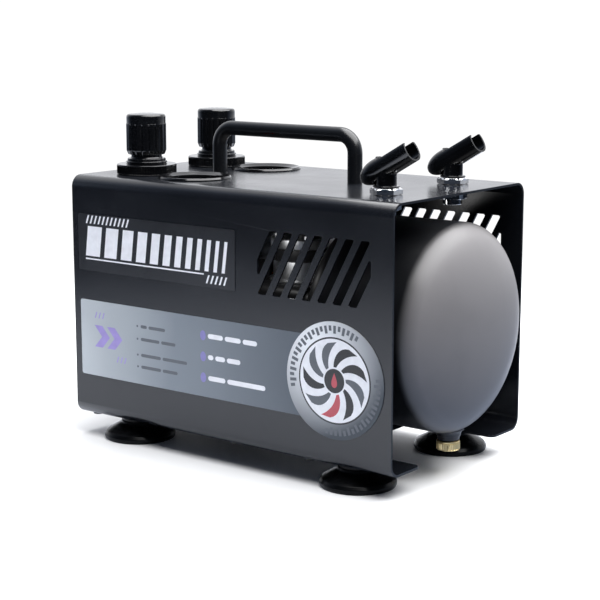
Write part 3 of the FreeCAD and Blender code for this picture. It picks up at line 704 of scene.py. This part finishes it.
def cradle_angles(half_height):
    """Angles from the top of the cradle's section, with the slot's two edges on the grid."""
    edge = math.acos(((SLOT_FLOOR - CRADLE_AXIS) / half_height) ** (CRADLE_POWER / 2))
    across = [-edge + 2 * edge * k / SLOT_CELLS for k in range(SLOT_CELLS)]
    around = [edge + (TAU - 2 * edge) * k / SIDE_CELLS for k in range(SIDE_CELLS)]
    return across + around


def cradle_point(pivot, u, v, w):
    """u runs along the cradle, v out of its open side, and w across it."""
    return pivot + ALONG * u + NORMAL * v + Vector((0, w, 0))


def cradle_ring(bm, pivot, u, half_width, half_height, share):
    """One section of the cradle: a rounded rectangle, scaled by share about its axis."""
    ring = []
    for angle in cradle_angles(half_height):
        across = math.sin(angle)
        up = math.cos(angle)
        w = half_width * share * math.copysign(abs(across) ** (2 / CRADLE_POWER), across)
        v = half_height * share * math.copysign(abs(up) ** (2 / CRADLE_POWER), up)
        ring.append(bm.verts.new(cradle_point(pivot, u, CRADLE_AXIS + v, w)))
    return ring


def join_rings(bm, first, second, cells):
    for i in cells:
        j = (i + 1) % len(first)
        bm.faces.new([first[i], first[j], second[j], second[i]])


def cradle_skin(bm, pivot, half_width, half_height, nose, shoulder, blunt):
    """One skin of the cradle, nose to mouth. Gives back its rings from the slot's start on."""
    stations = []
    for k in range(1, 17):
        t = 1 - (k / 16) ** 1.6
        stations.append((shoulder + (nose - shoulder) * t, (1 - t * t) ** (1 / blunt)))
    stations += [(shoulder + (CRADLE_SLOT - shoulder) * k / 3, 1.0) for k in (1, 2, 3)]
    slot_start = len(stations) - 1
    stations += [(CRADLE_SLOT + (CRADLE_MOUTH - CRADLE_SLOT) * k / 6, 1.0) for k in range(1, 7)]
    rings = [cradle_ring(bm, pivot, u, half_width, half_height, share) for u, share in stations]
    tip = bm.verts.new(cradle_point(pivot, nose, CRADLE_AXIS, 0))
    for i in range(len(rings[0])):
        bm.faces.new([rings[0][i], rings[0][(i + 1) % len(rings[0])], tip])
    for k, (first, second) in enumerate(zip(rings, rings[1:])):
        first_cell = 0 if k < slot_start else SLOT_CELLS
        join_rings(bm, first, second, range(first_cell, len(first)))
    return rings[slot_start:]


def under_cradle(x, y):
    """The height over the pivot of the middle of the cradle's lower wall."""
    half_width = 6.3 * MM
    half_height = 6.7 * MM
    across = min(1.0, abs(y) / half_width)
    v = CRADLE_AXIS - half_height * (1 - across**CRADLE_POWER) ** (1 / CRADLE_POWER)
    return (v + x * math.sin(CRADLE_TILT)) / math.cos(CRADLE_TILT)


def add_holder_post(bm, pivot):
    """The pin, collar and post, whose top follows the cradle's underside."""
    pin_bottom = -12.0
    seat = 4.3
    below = rounded([
        (0, pin_bottom), (3.6, pin_bottom), (4.0, pin_bottom + 0.4), (4.0, seat), (8.0, seat, 0.25),
        (8.0, seat + 1.0, 0.4), (6.25, seat + 1.0, 0.3), (6.25, seat + 2.2),
    ], 4)
    above = [
        (6.25, -1.2), (6.32, -0.7), (6.5, -0.3), (6.75, 0), (5.0, 0), (3.4, 0), (1.7, 0), (0, 0),
    ]
    rings = [circle(radius, height, at_height(pivot, case_top)) for radius, height in below]
    for radius, height in above:
        rings.append([
            point + Vector((0, 0, under_cradle(point.x - pivot.x, point.y - pivot.y)))
            for point in circle(radius, height, pivot)
        ])
    join_circles(bm, rings)


def make_airbrush_holder(place):
    """The cradle, open along its top from the slot to the mouth, on its post, with a nub behind."""
    pivot_y = centre_of("airbrush_holder_" + place).y
    pivot = Vector((centre_of("holder_sockets").x, pivot_y, case_top + PIVOT_HEIGHT))
    bm = bmesh.new()
    outer = cradle_skin(bm, pivot, 6.9 * MM, 7.3 * MM, CRADLE_TIP, -4 * MM, 1.9)
    inner = cradle_skin(bm, pivot, 5.7 * MM, 6.1 * MM, -12 * MM, -6 * MM, 2.0)
    join_rings(bm, outer[0], inner[0], range(SLOT_CELLS))
    for near, far, near_inner, far_inner in zip(outer, outer[1:], inner, inner[1:]):
        for edge in (0, SLOT_CELLS):
            bm.faces.new([near[edge], far[edge], far_inner[edge], near_inner[edge]])
    join_rings(bm, outer[-1], inner[-1], range(SLOT_CELLS, len(outer[-1])))
    add_holder_post(bm, pivot)
    turn = Matrix((ALONG, (0, 1, 0), NORMAL)).transposed()
    nub_foot = cradle_point(pivot, -1.4 * MM, CRADLE_AXIS + 7.0 * MM, 0)
    nub = rounded([(0, -0.4), (0.8, -0.4), (0.8, 0.9, 0.35), (0, 0.95)], 4)
    lathe(bm, nub, nub_foot, turn, steps=24)
    finish_piece(
        "airbrush_holder_shell_" + place, bm, "gloss_black", "holder_" + place,
        ["airbrush_holder_" + place], crease=42, edges=0.3 * MM,
    )


def make_holder_sockets():
    """The plated nuts on the case's top, their threaded sleeves, and the locknuts below the sheet."""
    nut = 4.0
    flats = 17.4
    corner = flats / math.sqrt(3)
    sleeve = [
        (4.07, -13.0), (5.7, -13.0), (6.0, -12.7), (6.0, 0.0), (flats / 2, 0.0),
        (corner, 0.5), (corner, nut - 0.75), (flats / 2 - 0.1, nut), (4.5, nut), (4.07, nut - 0.4),
    ]
    lock_flats = 16.0
    lock_corner = lock_flats / math.sqrt(3)
    lock = [
        (6.05, -9.5), (lock_flats / 2, -9.5), (lock_corner, -9.0), (lock_corner, -2.3),
        (lock_flats / 2, -1.5), (6.05, -1.5),
    ]
    bm = bmesh.new()
    for place in SIDES:
        base = at_height(centre_of("airbrush_holder_" + place), case_top)
        base.x = centre_of("holder_sockets").x
        for outline, across in ((sleeve, flats), (lock, lock_flats)):
            lathe(bm, outline, base, steps=144, shape=hexagonal(across, 6.5), closed=True)
    finish_piece("holder_nuts", bm, "chrome", "case", ["holder_sockets"], crease=24, edges=0.12 * MM)


for holder_place in SIDES:
    make_airbrush_holder(holder_place)
make_holder_sockets()

# ---- feet and drain

DRAIN_TEETH = 28
DRAIN_TOOTH_DEPTH = 0.45


def make_suction_feet():
    """Rubber cups: a hollow sole, a rounded lip, a straight cone, and a ring under the neck."""
    low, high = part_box("suction_feet")
    lip = 24.0
    top = high.z / MM
    outline = rounded([
        (0, 6.0), (9.0, 4.4), (17.0, 1.6, 1.5), (21.6, 0.0, 0.8), (23.4, 0.0, 0.5), (lip, 1.4, 0.9),
        (lip, 3.0, 1.0), (22.6, 5.0, 0.9), (21.0, 6.0, 0.7), (12.9, 10.4, 0.5), (12.6, 11.0, 0.5),
        (12.4, 11.9, 0.5), (11.5, 12.2, 0.3), (11.5, top), (2.5, top), (2.5, 9.0), (0, 9.0),
    ], 4)
    bm = bmesh.new()
    for x in (low.x + lip * MM, high.x - lip * MM):
        for y in (low.y + lip * MM, high.y - lip * MM):
            lathe(bm, outline, Vector((x, y, 0)), steps=128)
    finish_piece("suction_cups", bm, "black_rubber", "case", ["suction_feet"])


def make_drain_knob():
    """The knurled brass knob that opens the drain, with its stem."""
    low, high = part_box("drain_knob")
    radius = (high.x - low.x) / 2 / MM
    height = 6.0
    stem_top = (high.z - low.z) / MM
    outline = [
        (0, 0), (radius - 0.7, 0), (radius, 0.6), (radius, 0.9), (radius, 4.3), (radius, 4.6),
        (radius - 0.35, 4.75), (radius - 0.35, 5.0), (radius - 0.1, 5.15), (radius - 0.1, 5.7),
        (radius - 0.5, height), (3.0, height), (3.0, stem_top - 0.3), (2.7, stem_top), (0, stem_top),
    ]
    teeth = knurled(radius, 0.8, 4.4, DRAIN_TEETH, DRAIN_TOOTH_DEPTH)
    bm = bmesh.new()
    lathe(bm, outline, foot_of("drain_knob"), steps=DRAIN_TEETH * 8, shape=teeth)
    finish_piece("drain_knob_knurled", bm, "brass", "drain", ["drain_knob"], crease=28)


def make_drain_boss():
    """The stepped boss under the tank."""
    outline = rounded([
        (3.06, 0), (6.6, 0, 0.2), (6.95, 0.4, 0.2), (7.25, 2.6, 0.2), (7.7, 2.8, 0.2), (8.0, 4.6, 0.4),
        (8.7, 5.8, 0.4), (9.6, 6.5), (9.6, 7.3), (3.06, 7.3),
    ], 3)
    bm = bmesh.new()
    lathe(bm, outline, foot_of("drain_boss"), closed=True)
    finish_piece("drain_boss_stepped", bm, "tank_paint", "case", ["drain_boss"], crease=50)


make_suction_feet()
make_drain_knob()
make_drain_boss()

# ---- labels on the front wall

label_white = printed("label_white", (0.86, 0.86, 0.88), 0.34)
label_black = printed("label_black", (0.012, 0.012, 0.014), 0.30)
label_grey = printed("label_grey", (0.105, 0.115, 0.13), 0.38)
label_red = printed("label_red", (0.50, 0.07, 0.09), 0.32)
label_purple = printed("label_purple", (0.34, 0.27, 0.60), 0.36)
label_violet = printed("label_violet", (0.24, 0.22, 0.48), 0.40)

WORD_GAP = 1.6


def bar(left, bottom, width, height, lean=0.0):
    """The outline of an upright or leaning bar, in millimetres."""
    shift = lean * height
    corners = [(left, bottom), (left + width, bottom)]
    return corners + [(left + width + shift, bottom + height), (left + shift, bottom + height)]


def hashes(left, bottom, count, pitch, width, height, lean):
    return [bar(left + pitch * k, bottom, width, height, lean) for k in range(count)]


def pill(left, middle_z, length, height):
    """The outline of a bar with round ends, in millimetres."""
    radius = height / 2
    points = []
    for centre_x, start in ((left + length - radius, -90), (left + radius, 90)):
        for k in range(9):
            angle = math.radians(start + 180 * k / 8)
            points.append((centre_x + radius * math.cos(angle), middle_z + radius * math.sin(angle)))
    return points


def pills(left, middle_z, lengths, height):
    """A row of bars with round ends, one for each word of a line."""
    row = []
    for length in lengths:
        row.append(pill(left, middle_z, length, height))
        left += length + WORD_GAP
    return row


def oval(x, z, half_width, half_height, steps=48):
    turns = [TAU * k / steps for k in range(steps)]
    return [(x + half_width * math.cos(a), z + half_height * math.sin(a)) for a in turns]


def ink_piece(name, outlines, label, ink, layer=1):
    """Printed shapes, a hair's breadth proud of the label that they are printed on."""
    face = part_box(label)[0].y
    front = face - layer * INK
    back = face + 0.02 * MM
    bm = bmesh.new()
    for outline in outlines:
        near = [(x * MM, front, z * MM) for x, z in outline]
        far = [(x * MM, back, z * MM) for x, z in outline]
        prism(bm, near, far)
    finish_piece(name, bm, slot_of[label], "case", material=ink)


def label_corner(node_name):
    """A label's lower left corner on the front wall, in millimetres."""
    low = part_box(node_name)[0]
    return low.x / MM, low.z / MM


def make_name_graphics():
    """Abstract stripes: a row of leaning bars that grow narrower, a line, and hatching."""
    x, z = label_corner("name_plate")
    shapes = hashes(x + 7.2, z + 31.8, 11, 3.64, 1.35, 5.5, 0.38)
    shapes += hashes(x + 112.6, z + 2.4, 5, 3.6, 1.35, 5.3, 0.38)
    shapes.append(bar(x + 6.5, z + 7.6, 104.5, 0.9))
    left = x + 6.6
    width = 13.0
    while width > 2.4:
        shapes.append(bar(left, z + 10.0, width, 20.0, 0.13))
        left += width + 4.0
        width *= 0.86
    ink_piece("name_plate_stripes", shapes, "name_plate", label_white)


def chevron(left, bottom, width, height, thick):
    """A broad arrowhead that points to the right."""
    tip = width - thick
    top = bottom + height
    middle_z = bottom + height / 2
    return [
        (left, bottom), (left + thick, bottom), (left + thick + tip, middle_z), (left + thick, top),
        (left, top), (left + tip, middle_z),
    ]


def make_info_graphics():
    """Plain marks where the label has its lines: an arrow mark, dots, and bars for words."""
    x, z = label_corner("info_panel")
    arrows = [chevron(x + 12.6 + 11.5 * k, z + 20.0, 14.0, 14.8, 7.2) for k in (0, 1)]
    arrows += hashes(x + 13.0, z + 39.6, 3, 3.4, 0.9, 4.2, 0.35)
    arrows += hashes(x + 32.5, z + 11.6, 3, 3.4, 0.9, 4.2, 0.35)
    ink_piece("info_arrows", arrows, "info_panel", label_purple)
    small = []
    for rise, words in (
        (38.8, (5.5, 14.5)), (30.3, (16.5, 12.4)), (19.6, (17.5, 21.2)), (11.7, (17.5, 12.9)),
    ):
        small.append(oval(x + 52.0, z + rise, 0.75, 0.75, 20))
        small += pills(x + 55.0, z + rise, words, 2.1)
    ink_piece("info_small_lines", small, "info_panel", label_grey)
    large = []
    dots = []
    for rise, words in ((39.9, (12.5, 13.0, 11.5)), (26.2, (4.5, 8.0, 11.0)), (12.6, (14.3, 30.8))):
        dots.append(oval(x + 109.1, z + rise, 2.3, 3.2))
        large += pills(x + 113.2, z + rise, words, 3.1)
    ink_piece("info_large_lines", large, "info_panel", label_white)
    ink_piece("info_dots", dots, "info_panel", label_violet)


def fan_blade(x, z, start, inner, outer, sweep, width):
    """The outline of one curved blade, from the hub out to a rounded tip, angles in degrees."""
    points = []
    steps = 10
    for k in range(steps + 1):
        t = k / steps
        angle = math.radians(start - sweep * t)
        radius = inner + (outer - inner) * t
        points.append((x + radius * math.cos(angle), z + radius * math.sin(angle)))
    for k in range(steps + 1):
        t = 1 - k / steps
        breadth = width * (0.62 + 0.38 * t) * (1 - 0.25 * t**6)
        angle = math.radians(start - sweep * t**1.35 + breadth)
        radius = inner + (outer - inner) * t * (1 - 0.06 * t**4)
        points.append((x + radius * math.cos(angle), z + radius * math.sin(angle)))
    return points


def rim_ticks(x, z, outer, half_width):
    """Long and short radial marks along two arcs of the badge's rim."""
    ticks = []
    for first, last in ((60, 192), (-100, 12)):
        for degrees in range(first, last + 1, 6):
            inner = outer - (4.8 if degrees % 4 else 3.2)
            cosine = math.cos(math.radians(degrees))
            sine = math.sin(math.radians(degrees))
            corners = []
            for radius, aside in ((inner, -1), (outer, -1), (outer, 1), (inner, 1)):
                aside *= half_width
                corners.append((x + radius * cosine - aside * sine, z + radius * sine + aside * cosine))
            ticks.append(corners)
    return ticks


def drop_shape(x, z, half_width, half_height):
    """A drop with its point at the top."""
    points = []
    for k in range(40):
        angle = TAU * k / 40
        narrow = math.sin(angle / 2) ** 1.5
        points.append((x - half_width * math.sin(angle) * narrow, z + half_height * math.cos(angle)))
    return points


def make_badge_emblem():
    """A plain turbine emblem with a drop in its middle, and tick marks round it."""
    centre = centre_of("round_badge")
    x = centre.x / MM
    z = centre.z / MM
    blades = {"black": [], "grey": [], "red": []}
    tones = ("black", "black", "grey", "black", "red", "grey", "black", "grey", "grey")
    for k, tone in enumerate(tones):
        blades[tone].append(fan_blade(x, z, 80 - 40 * k, 8.5, 24.0, 34, 22))
    hub = oval(x, z, 7.4, 7.4, 64)
    for name, outlines, ink, layer in (
        ("badge_ticks", rim_ticks(x, z, 33.6, 0.95), label_grey, 1),
        ("badge_disc_rim", [oval(x, z, 26.6, 26.6, 96)], label_black, 1),
        ("badge_disc", [oval(x, z, 25.6, 25.6, 96)], label_white, 2),
        ("badge_blades_black", blades["black"] + [hub], label_black, 3),
        ("badge_blades_grey", blades["grey"], label_grey, 3),
        ("badge_blade_red", blades["red"], label_red, 3),
        ("badge_drop", [drop_shape(x, z + 0.4, 3.0, 4.6)], label_red, 4),
    ):
        ink_piece(name, outlines, "round_badge", ink, layer)


make_name_graphics()
make_info_graphics()
make_badge_emblem()

# ---- gauges

BEZEL_RADIUS = 24.0
BEZEL_BORE = 18.2
DIAL_RADIUS = 19.2
DIAL_START = 225
DIAL_SWEEP = 270
DIAL_MARKS = 50
DIAL_RIM = 16.6
NUMBER_RADIUS = 10.9
NUMBER_SIZE = 4.2 * MM
DIAL_NUMBERS = (0, 2, 4, 6, 8, 10)


def gauge_centre(node_name, radius, side, height):
    """One gauge's middle, from the node that holds both gauges' round parts of that radius."""
    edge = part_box(node_name)[1].y
    return Vector((centre_of(node_name).x, side * (edge - radius * MM), height))


def make_gauge_bezels():
    """The rings around the gauges: a thin crest at the outside, and a slope down to the glass."""
    low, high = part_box("gauge_bezels")
    skirt = (low.z - case_top) / MM
    crest = (high.z - case_top) / MM
    outline = rounded([
        (BEZEL_BORE, skirt), (BEZEL_BORE + 1.0, skirt), (BEZEL_BORE + 1.0, 0), (BEZEL_RADIUS, 0),
        (BEZEL_RADIUS, 0.7, 0.3), (BEZEL_RADIUS - 0.8, crest, 0.4), (BEZEL_RADIUS - 1.5, crest, 0.4),
        (BEZEL_RADIUS - 4.6, 0.5, 1.0), (BEZEL_BORE, 0.1),
    ])
    bm = bmesh.new()
    for side in SIDES.values():
        centre = gauge_centre("gauge_bezels", BEZEL_RADIUS, side, case_top)
        lathe(bm, outline, centre, steps=128, closed=True)
    finish_piece("gauge_bezel_rings", bm, "gloss_black", "case", ["gauge_bezels"], crease=50)


def on_dial(centre, angle, radius, aside=0.0):
    """A point of the dial at a radius in millimetres, moved aside from the spoke at that angle."""
    along = Vector((math.cos(angle), math.sin(angle), 0))
    across = Vector((-math.sin(angle), math.cos(angle), 0))
    return centre + (along * radius + across * aside) * MM


def raise_print(bm, corners):
    """Ink over a flat outline on the dial."""
    prism(bm, [corner + Vector((0, 0, INK)) for corner in corners], corners)


def dial_bar(bm, centre, angle, inner, outer, half_width):
    """A radial mark that lies on the dial."""
    raise_print(bm, [
        on_dial(centre, angle, radius, aside)
        for radius, aside in (
            (inner, -half_width), (outer, -half_width), (outer, half_width), (inner, half_width),
        )
    ])


def dial_arc(bm, centre, start, end, inner, outer):
    steps = 60
    angles = [math.radians(start + (end - start) * k / steps) for k in range(steps + 1)]
    corners = [on_dial(centre, angle, outer) for angle in angles]
    corners += [on_dial(centre, angle, inner) for angle in reversed(angles)]
    raise_print(bm, corners)


def add_number(bm, value, centre):
    """A numeral of the dial, as a thin mesh."""
    text = bpy.data.curves.new("numeral", "FONT")
    text.body = str(value)
    text.size = NUMBER_SIZE
    text.align_x = "CENTER"
    text.align_y = "CENTER"
    text.extrude = INK / 2
    holder = bpy.data.objects.new("numeral", text)
    mesh = bpy.data.meshes.new_from_object(holder)
    mesh.transform(Matrix.Translation(centre + Vector((0, 0, INK / 2))))
    bm.from_mesh(mesh)
    bpy.data.objects.remove(holder)
    bpy.data.curves.remove(text)
    bpy.data.meshes.remove(mesh)


def make_dial_prints():
    """Scales from 0 to 10 with numbers, read from the labelled side, and a red zone at the top."""
    scale = bmesh.new()
    red_zone = bmesh.new()
    end = DIAL_START - DIAL_SWEEP
    for side in SIDES.values():
        centre = gauge_centre("gauge_dials", DIAL_RADIUS, side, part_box("gauge_dials")[1].z)
        for k in range(DIAL_MARKS + 1):
            angle = math.radians(DIAL_START - DIAL_SWEEP * k / DIAL_MARKS)
            inner, half_width = (13.6, 0.28) if k % 5 == 0 else (15.0, 0.12)
            dial_bar(scale, centre, angle, inner, DIAL_RIM, half_width)
        dial_arc(scale, centre, end, DIAL_START, DIAL_RIM, DIAL_RIM + 0.3)
        dial_arc(red_zone, centre, end, 0, 17.1, 17.8)
        for number in DIAL_NUMBERS:
            angle = math.radians(DIAL_START - DIAL_SWEEP * number / DIAL_NUMBERS[-1])
            add_number(scale, number, on_dial(centre, angle, NUMBER_RADIUS))
    finish_piece("dial_scales", scale, "dial_black", "case", material=label_white)
    finish_piece("dial_red_zones", red_zone, "dial_black", "case", material=label_red)


make_gauge_bezels()
make_dial_prints()

# ---- pump, tank and switch details

SCREW_RADIUS = 2.6
SCREW_HEIGHT = 2.4
SCREW_SOCKET = 1.4
DOME_STEPS = 40
DOME_WALL = 2.0


def make_pump_screws():
    """Cap screws with hexagonal sockets, on the cylinder head and the crankcase cover."""
    floor = SCREW_HEIGHT * 0.45
    outline = [
        (0, 0), (SCREW_RADIUS, 0), (SCREW_RADIUS, SCREW_HEIGHT - 0.3), (SCREW_RADIUS - 0.3, SCREW_HEIGHT),
        (SCREW_SOCKET, SCREW_HEIGHT), (SCREW_SOCKET, floor), (0, floor),
    ]
    hexagon = hexagonal(2.4, 0.0)

    def shape(radius, height, angle):
        return hexagon(radius, height, angle) if radius == SCREW_SOCKET else radius

    bm = bmesh.new()
    reach = 17.5 * MM
    for k in range(4):
        angle = math.radians(45 + 90 * k)
        place = centre_of("cylinder") + Vector((math.cos(angle), math.sin(angle), 0)) * reach
        lathe(bm, outline, at_height(place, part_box("cylinder_head")[1].z), steps=48, shape=shape)
    low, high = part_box("crankcase_cover")
    inset = 6 * MM
    for y in (low.y + inset, high.y - inset):
        for z in (low.z + inset, high.z - inset):
            place = Vector((low.x + 2.5 * MM, y, z))
            lathe(bm, outline, place, POINTING_RIGHT, steps=48, shape=shape)
    finish_piece("pump_screws", bm, "zinc_steel", "case", crease=30)


def make_tank_dome():
    """The tank's domed end, whose curve tightens smoothly towards the barrel."""
    low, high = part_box("tank_head_right")
    radius = (high.z - low.z) / 2 / MM
    depth = (high.x - low.x) / MM
    turns = [math.pi / 2 * k / DOME_STEPS for k in range(DOME_STEPS + 1)]
    outline = [(radius * math.sin(a), depth * math.cos(a)) for a in turns]
    outline += [
        ((radius - DOME_WALL) * math.sin(a), (depth - DOME_WALL) * math.cos(a)) for a in reversed(turns)
    ]
    centre = centre_of("tank_head_right")
    centre.x = low.x
    bm = bmesh.new()
    lathe(bm, outline, centre, POINTING_RIGHT, steps=192)
    finish_piece("tank_dome", bm, "tank_paint", "case", ["tank_head_right"])


def make_rocker_marks():
    """The bar and ring that mark the two ends of the rocker switch, one on each of its slopes."""
    panel_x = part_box("end_panel")[0].x
    y = centre_of("rocker_button").y
    z = centre_of("rocker_switch_body").z
    bar_x = panel_x - 1.34 * MM
    ring_x = panel_x - 2.45 * MM
    ring_drop = 3.4 * MM
    slope = math.atan2(2.2, 7.77)
    half_width = 0.35 * MM
    corners = [(y - half_width, 3.2), (y + half_width, 3.2), (y + half_width, 6.4), (y - half_width, 6.4)]
    bm = bmesh.new()
    near = [(bar_x - INK, across, z + rise * MM) for across, rise in corners]
    far = [(bar_x + INK, across, z + rise * MM) for across, rise in corners]
    prism(bm, near, far)
    outward = Vector((-math.cos(slope), 0, math.sin(slope)))
    down = Vector((-math.sin(slope), 0, -math.cos(slope)))
    turn = Matrix((down, (0, 1, 0), outward)).transposed()
    ring = [(1.25, -0.06), (1.75, -0.06), (1.75, 0.06), (1.25, 0.06)]
    lathe(bm, ring, Vector((ring_x, y, z - ring_drop)), turn, steps=40, closed=True)
    finish_piece("rocker_marks", bm, "rocker_black", "rocker", material=label_white)


make_pump_screws()
make_tank_dome()
make_rocker_marks()

# ---- stage, light and camera

FLOOR_RADIUS = 9.0
FLOOR_WHITE = 0.90
FRONT_LEFT = (-0.62, -0.78, 0.0)
RIGHT = (1.0, 0.1, 0.0)
UP = (0.0, 0.0, 1.0)
WORLD_GLOW = (-0.45, 0.85, 0.20)
WORLD_SHOWN = (1.05, 1.05, 1.05)
CAMERA_PLACE = (0.6209, -0.8091, 0.2881)
CAMERA_PITCH = 0.18408
CAMERA_TURN = 0.65845
LENS = 94.4


def make_floor():
    """A white table that fades into the white around it, and whose far parts don't light the object: evenly
    white to the camera, but painted darker for reflections and bounce light.
    """
    bm = bmesh.new()
    bmesh.ops.create_circle(bm, cap_ends=True, segments=96, radius=FLOOR_RADIUS)
    mesh = add_mesh("studio_floor", bm)
    look = Finish("studio_floor", roughness=0.55, specular_IOR_level=0.25)
    # Painted shade: for the object's reflections and bounce light, the floor darkens towards the front left,
    # and sharply just to the right of the case.
    left = look.levels(look.toward(look.place, FRONT_LEFT), FLOOR_WHITE, 0.02, 0.50, 0.90, "SMOOTHSTEP")
    right = look.levels(look.toward(look.place, RIGHT), 1.0, 0.16, 0.09, 0.16, "SMOOTHSTEP")
    grain = look.levels(look.noise(0.02), 0.985, 1.0)
    bright = look.sum(left, right, grain, operation="MULTIPLY")
    look.set(base_color=look.to_camera(look.tinted(bright), (FLOOR_WHITE,) * 3))
    look.set(alpha=look.levels(look.distance((0, 0, 0)), 1.0, 0.0, 0.55, 0.95, "SMOOTHSTEP"))
    mesh.materials.append(look.material)
    add_object("studio_floor", mesh)


def make_world():
    """White behind the object, dark in front of it and below, and white to the camera."""
    world = bpy.data.worlds.new("studio")
    bpy.context.scene.world = world
    world.use_nodes = True
    sky = Nodes(world.node_tree)
    background = next(n for n in sky.tree.nodes if n.type == "BACKGROUND")
    direction = sky.add("ShaderNodeTexCoord").outputs["Generated"]
    glow = sky.levels(sky.toward(direction, WORLD_GLOW), 0.05, 1.30, -0.20, 0.92, "SMOOTHSTEP")
    above = sky.levels(sky.toward(direction, UP), 0.10, 1.0, -0.12, 0.0, "SMOOTHSTEP")
    dimmed = sky.sum(glow, above, operation="MULTIPLY")
    shown = sky.to_camera(sky.tinted(dimmed), WORLD_SHOWN)
    sky.feed(background, {"Strength": 1.0, "Color": shown})


def softbox(name, place, aim, width, depth, power):
    light = bpy.data.lights.new(name, "AREA")
    light.shape = "RECTANGLE"
    light.size = width
    light.size_y = depth
    light.energy = power
    lamp = add_object(name, light)
    lamp.location = place
    lamp.visible_camera = False
    lamp.rotation_euler = (aim - Vector(place)).to_track_quat("-Z", "Y").to_euler()


def make_camera():
    data = bpy.data.cameras.new("camera")
    data.lens = LENS
    data.sensor_width = 36.0
    data.clip_start = 0.05
    camera = add_object("camera", data)
    camera.location = CAMERA_PLACE
    camera.rotation_euler = (math.pi / 2 - CAMERA_PITCH, 0.0, CAMERA_TURN)
    bpy.context.scene.camera = camera


middle = (cad_box[0] + cad_box[1]) / 2
make_floor()
make_world()
softbox("overhead", (0.28, 0.12, 1.05), middle, 1.5, 1.3, 44.0)
softbox("inner_light", (-0.004, -0.068, 0.146), centre_of("cylinder"), 0.03, 0.012, 0.009)
make_camera()
bpy.context.scene.view_settings.view_transform = "Standard"
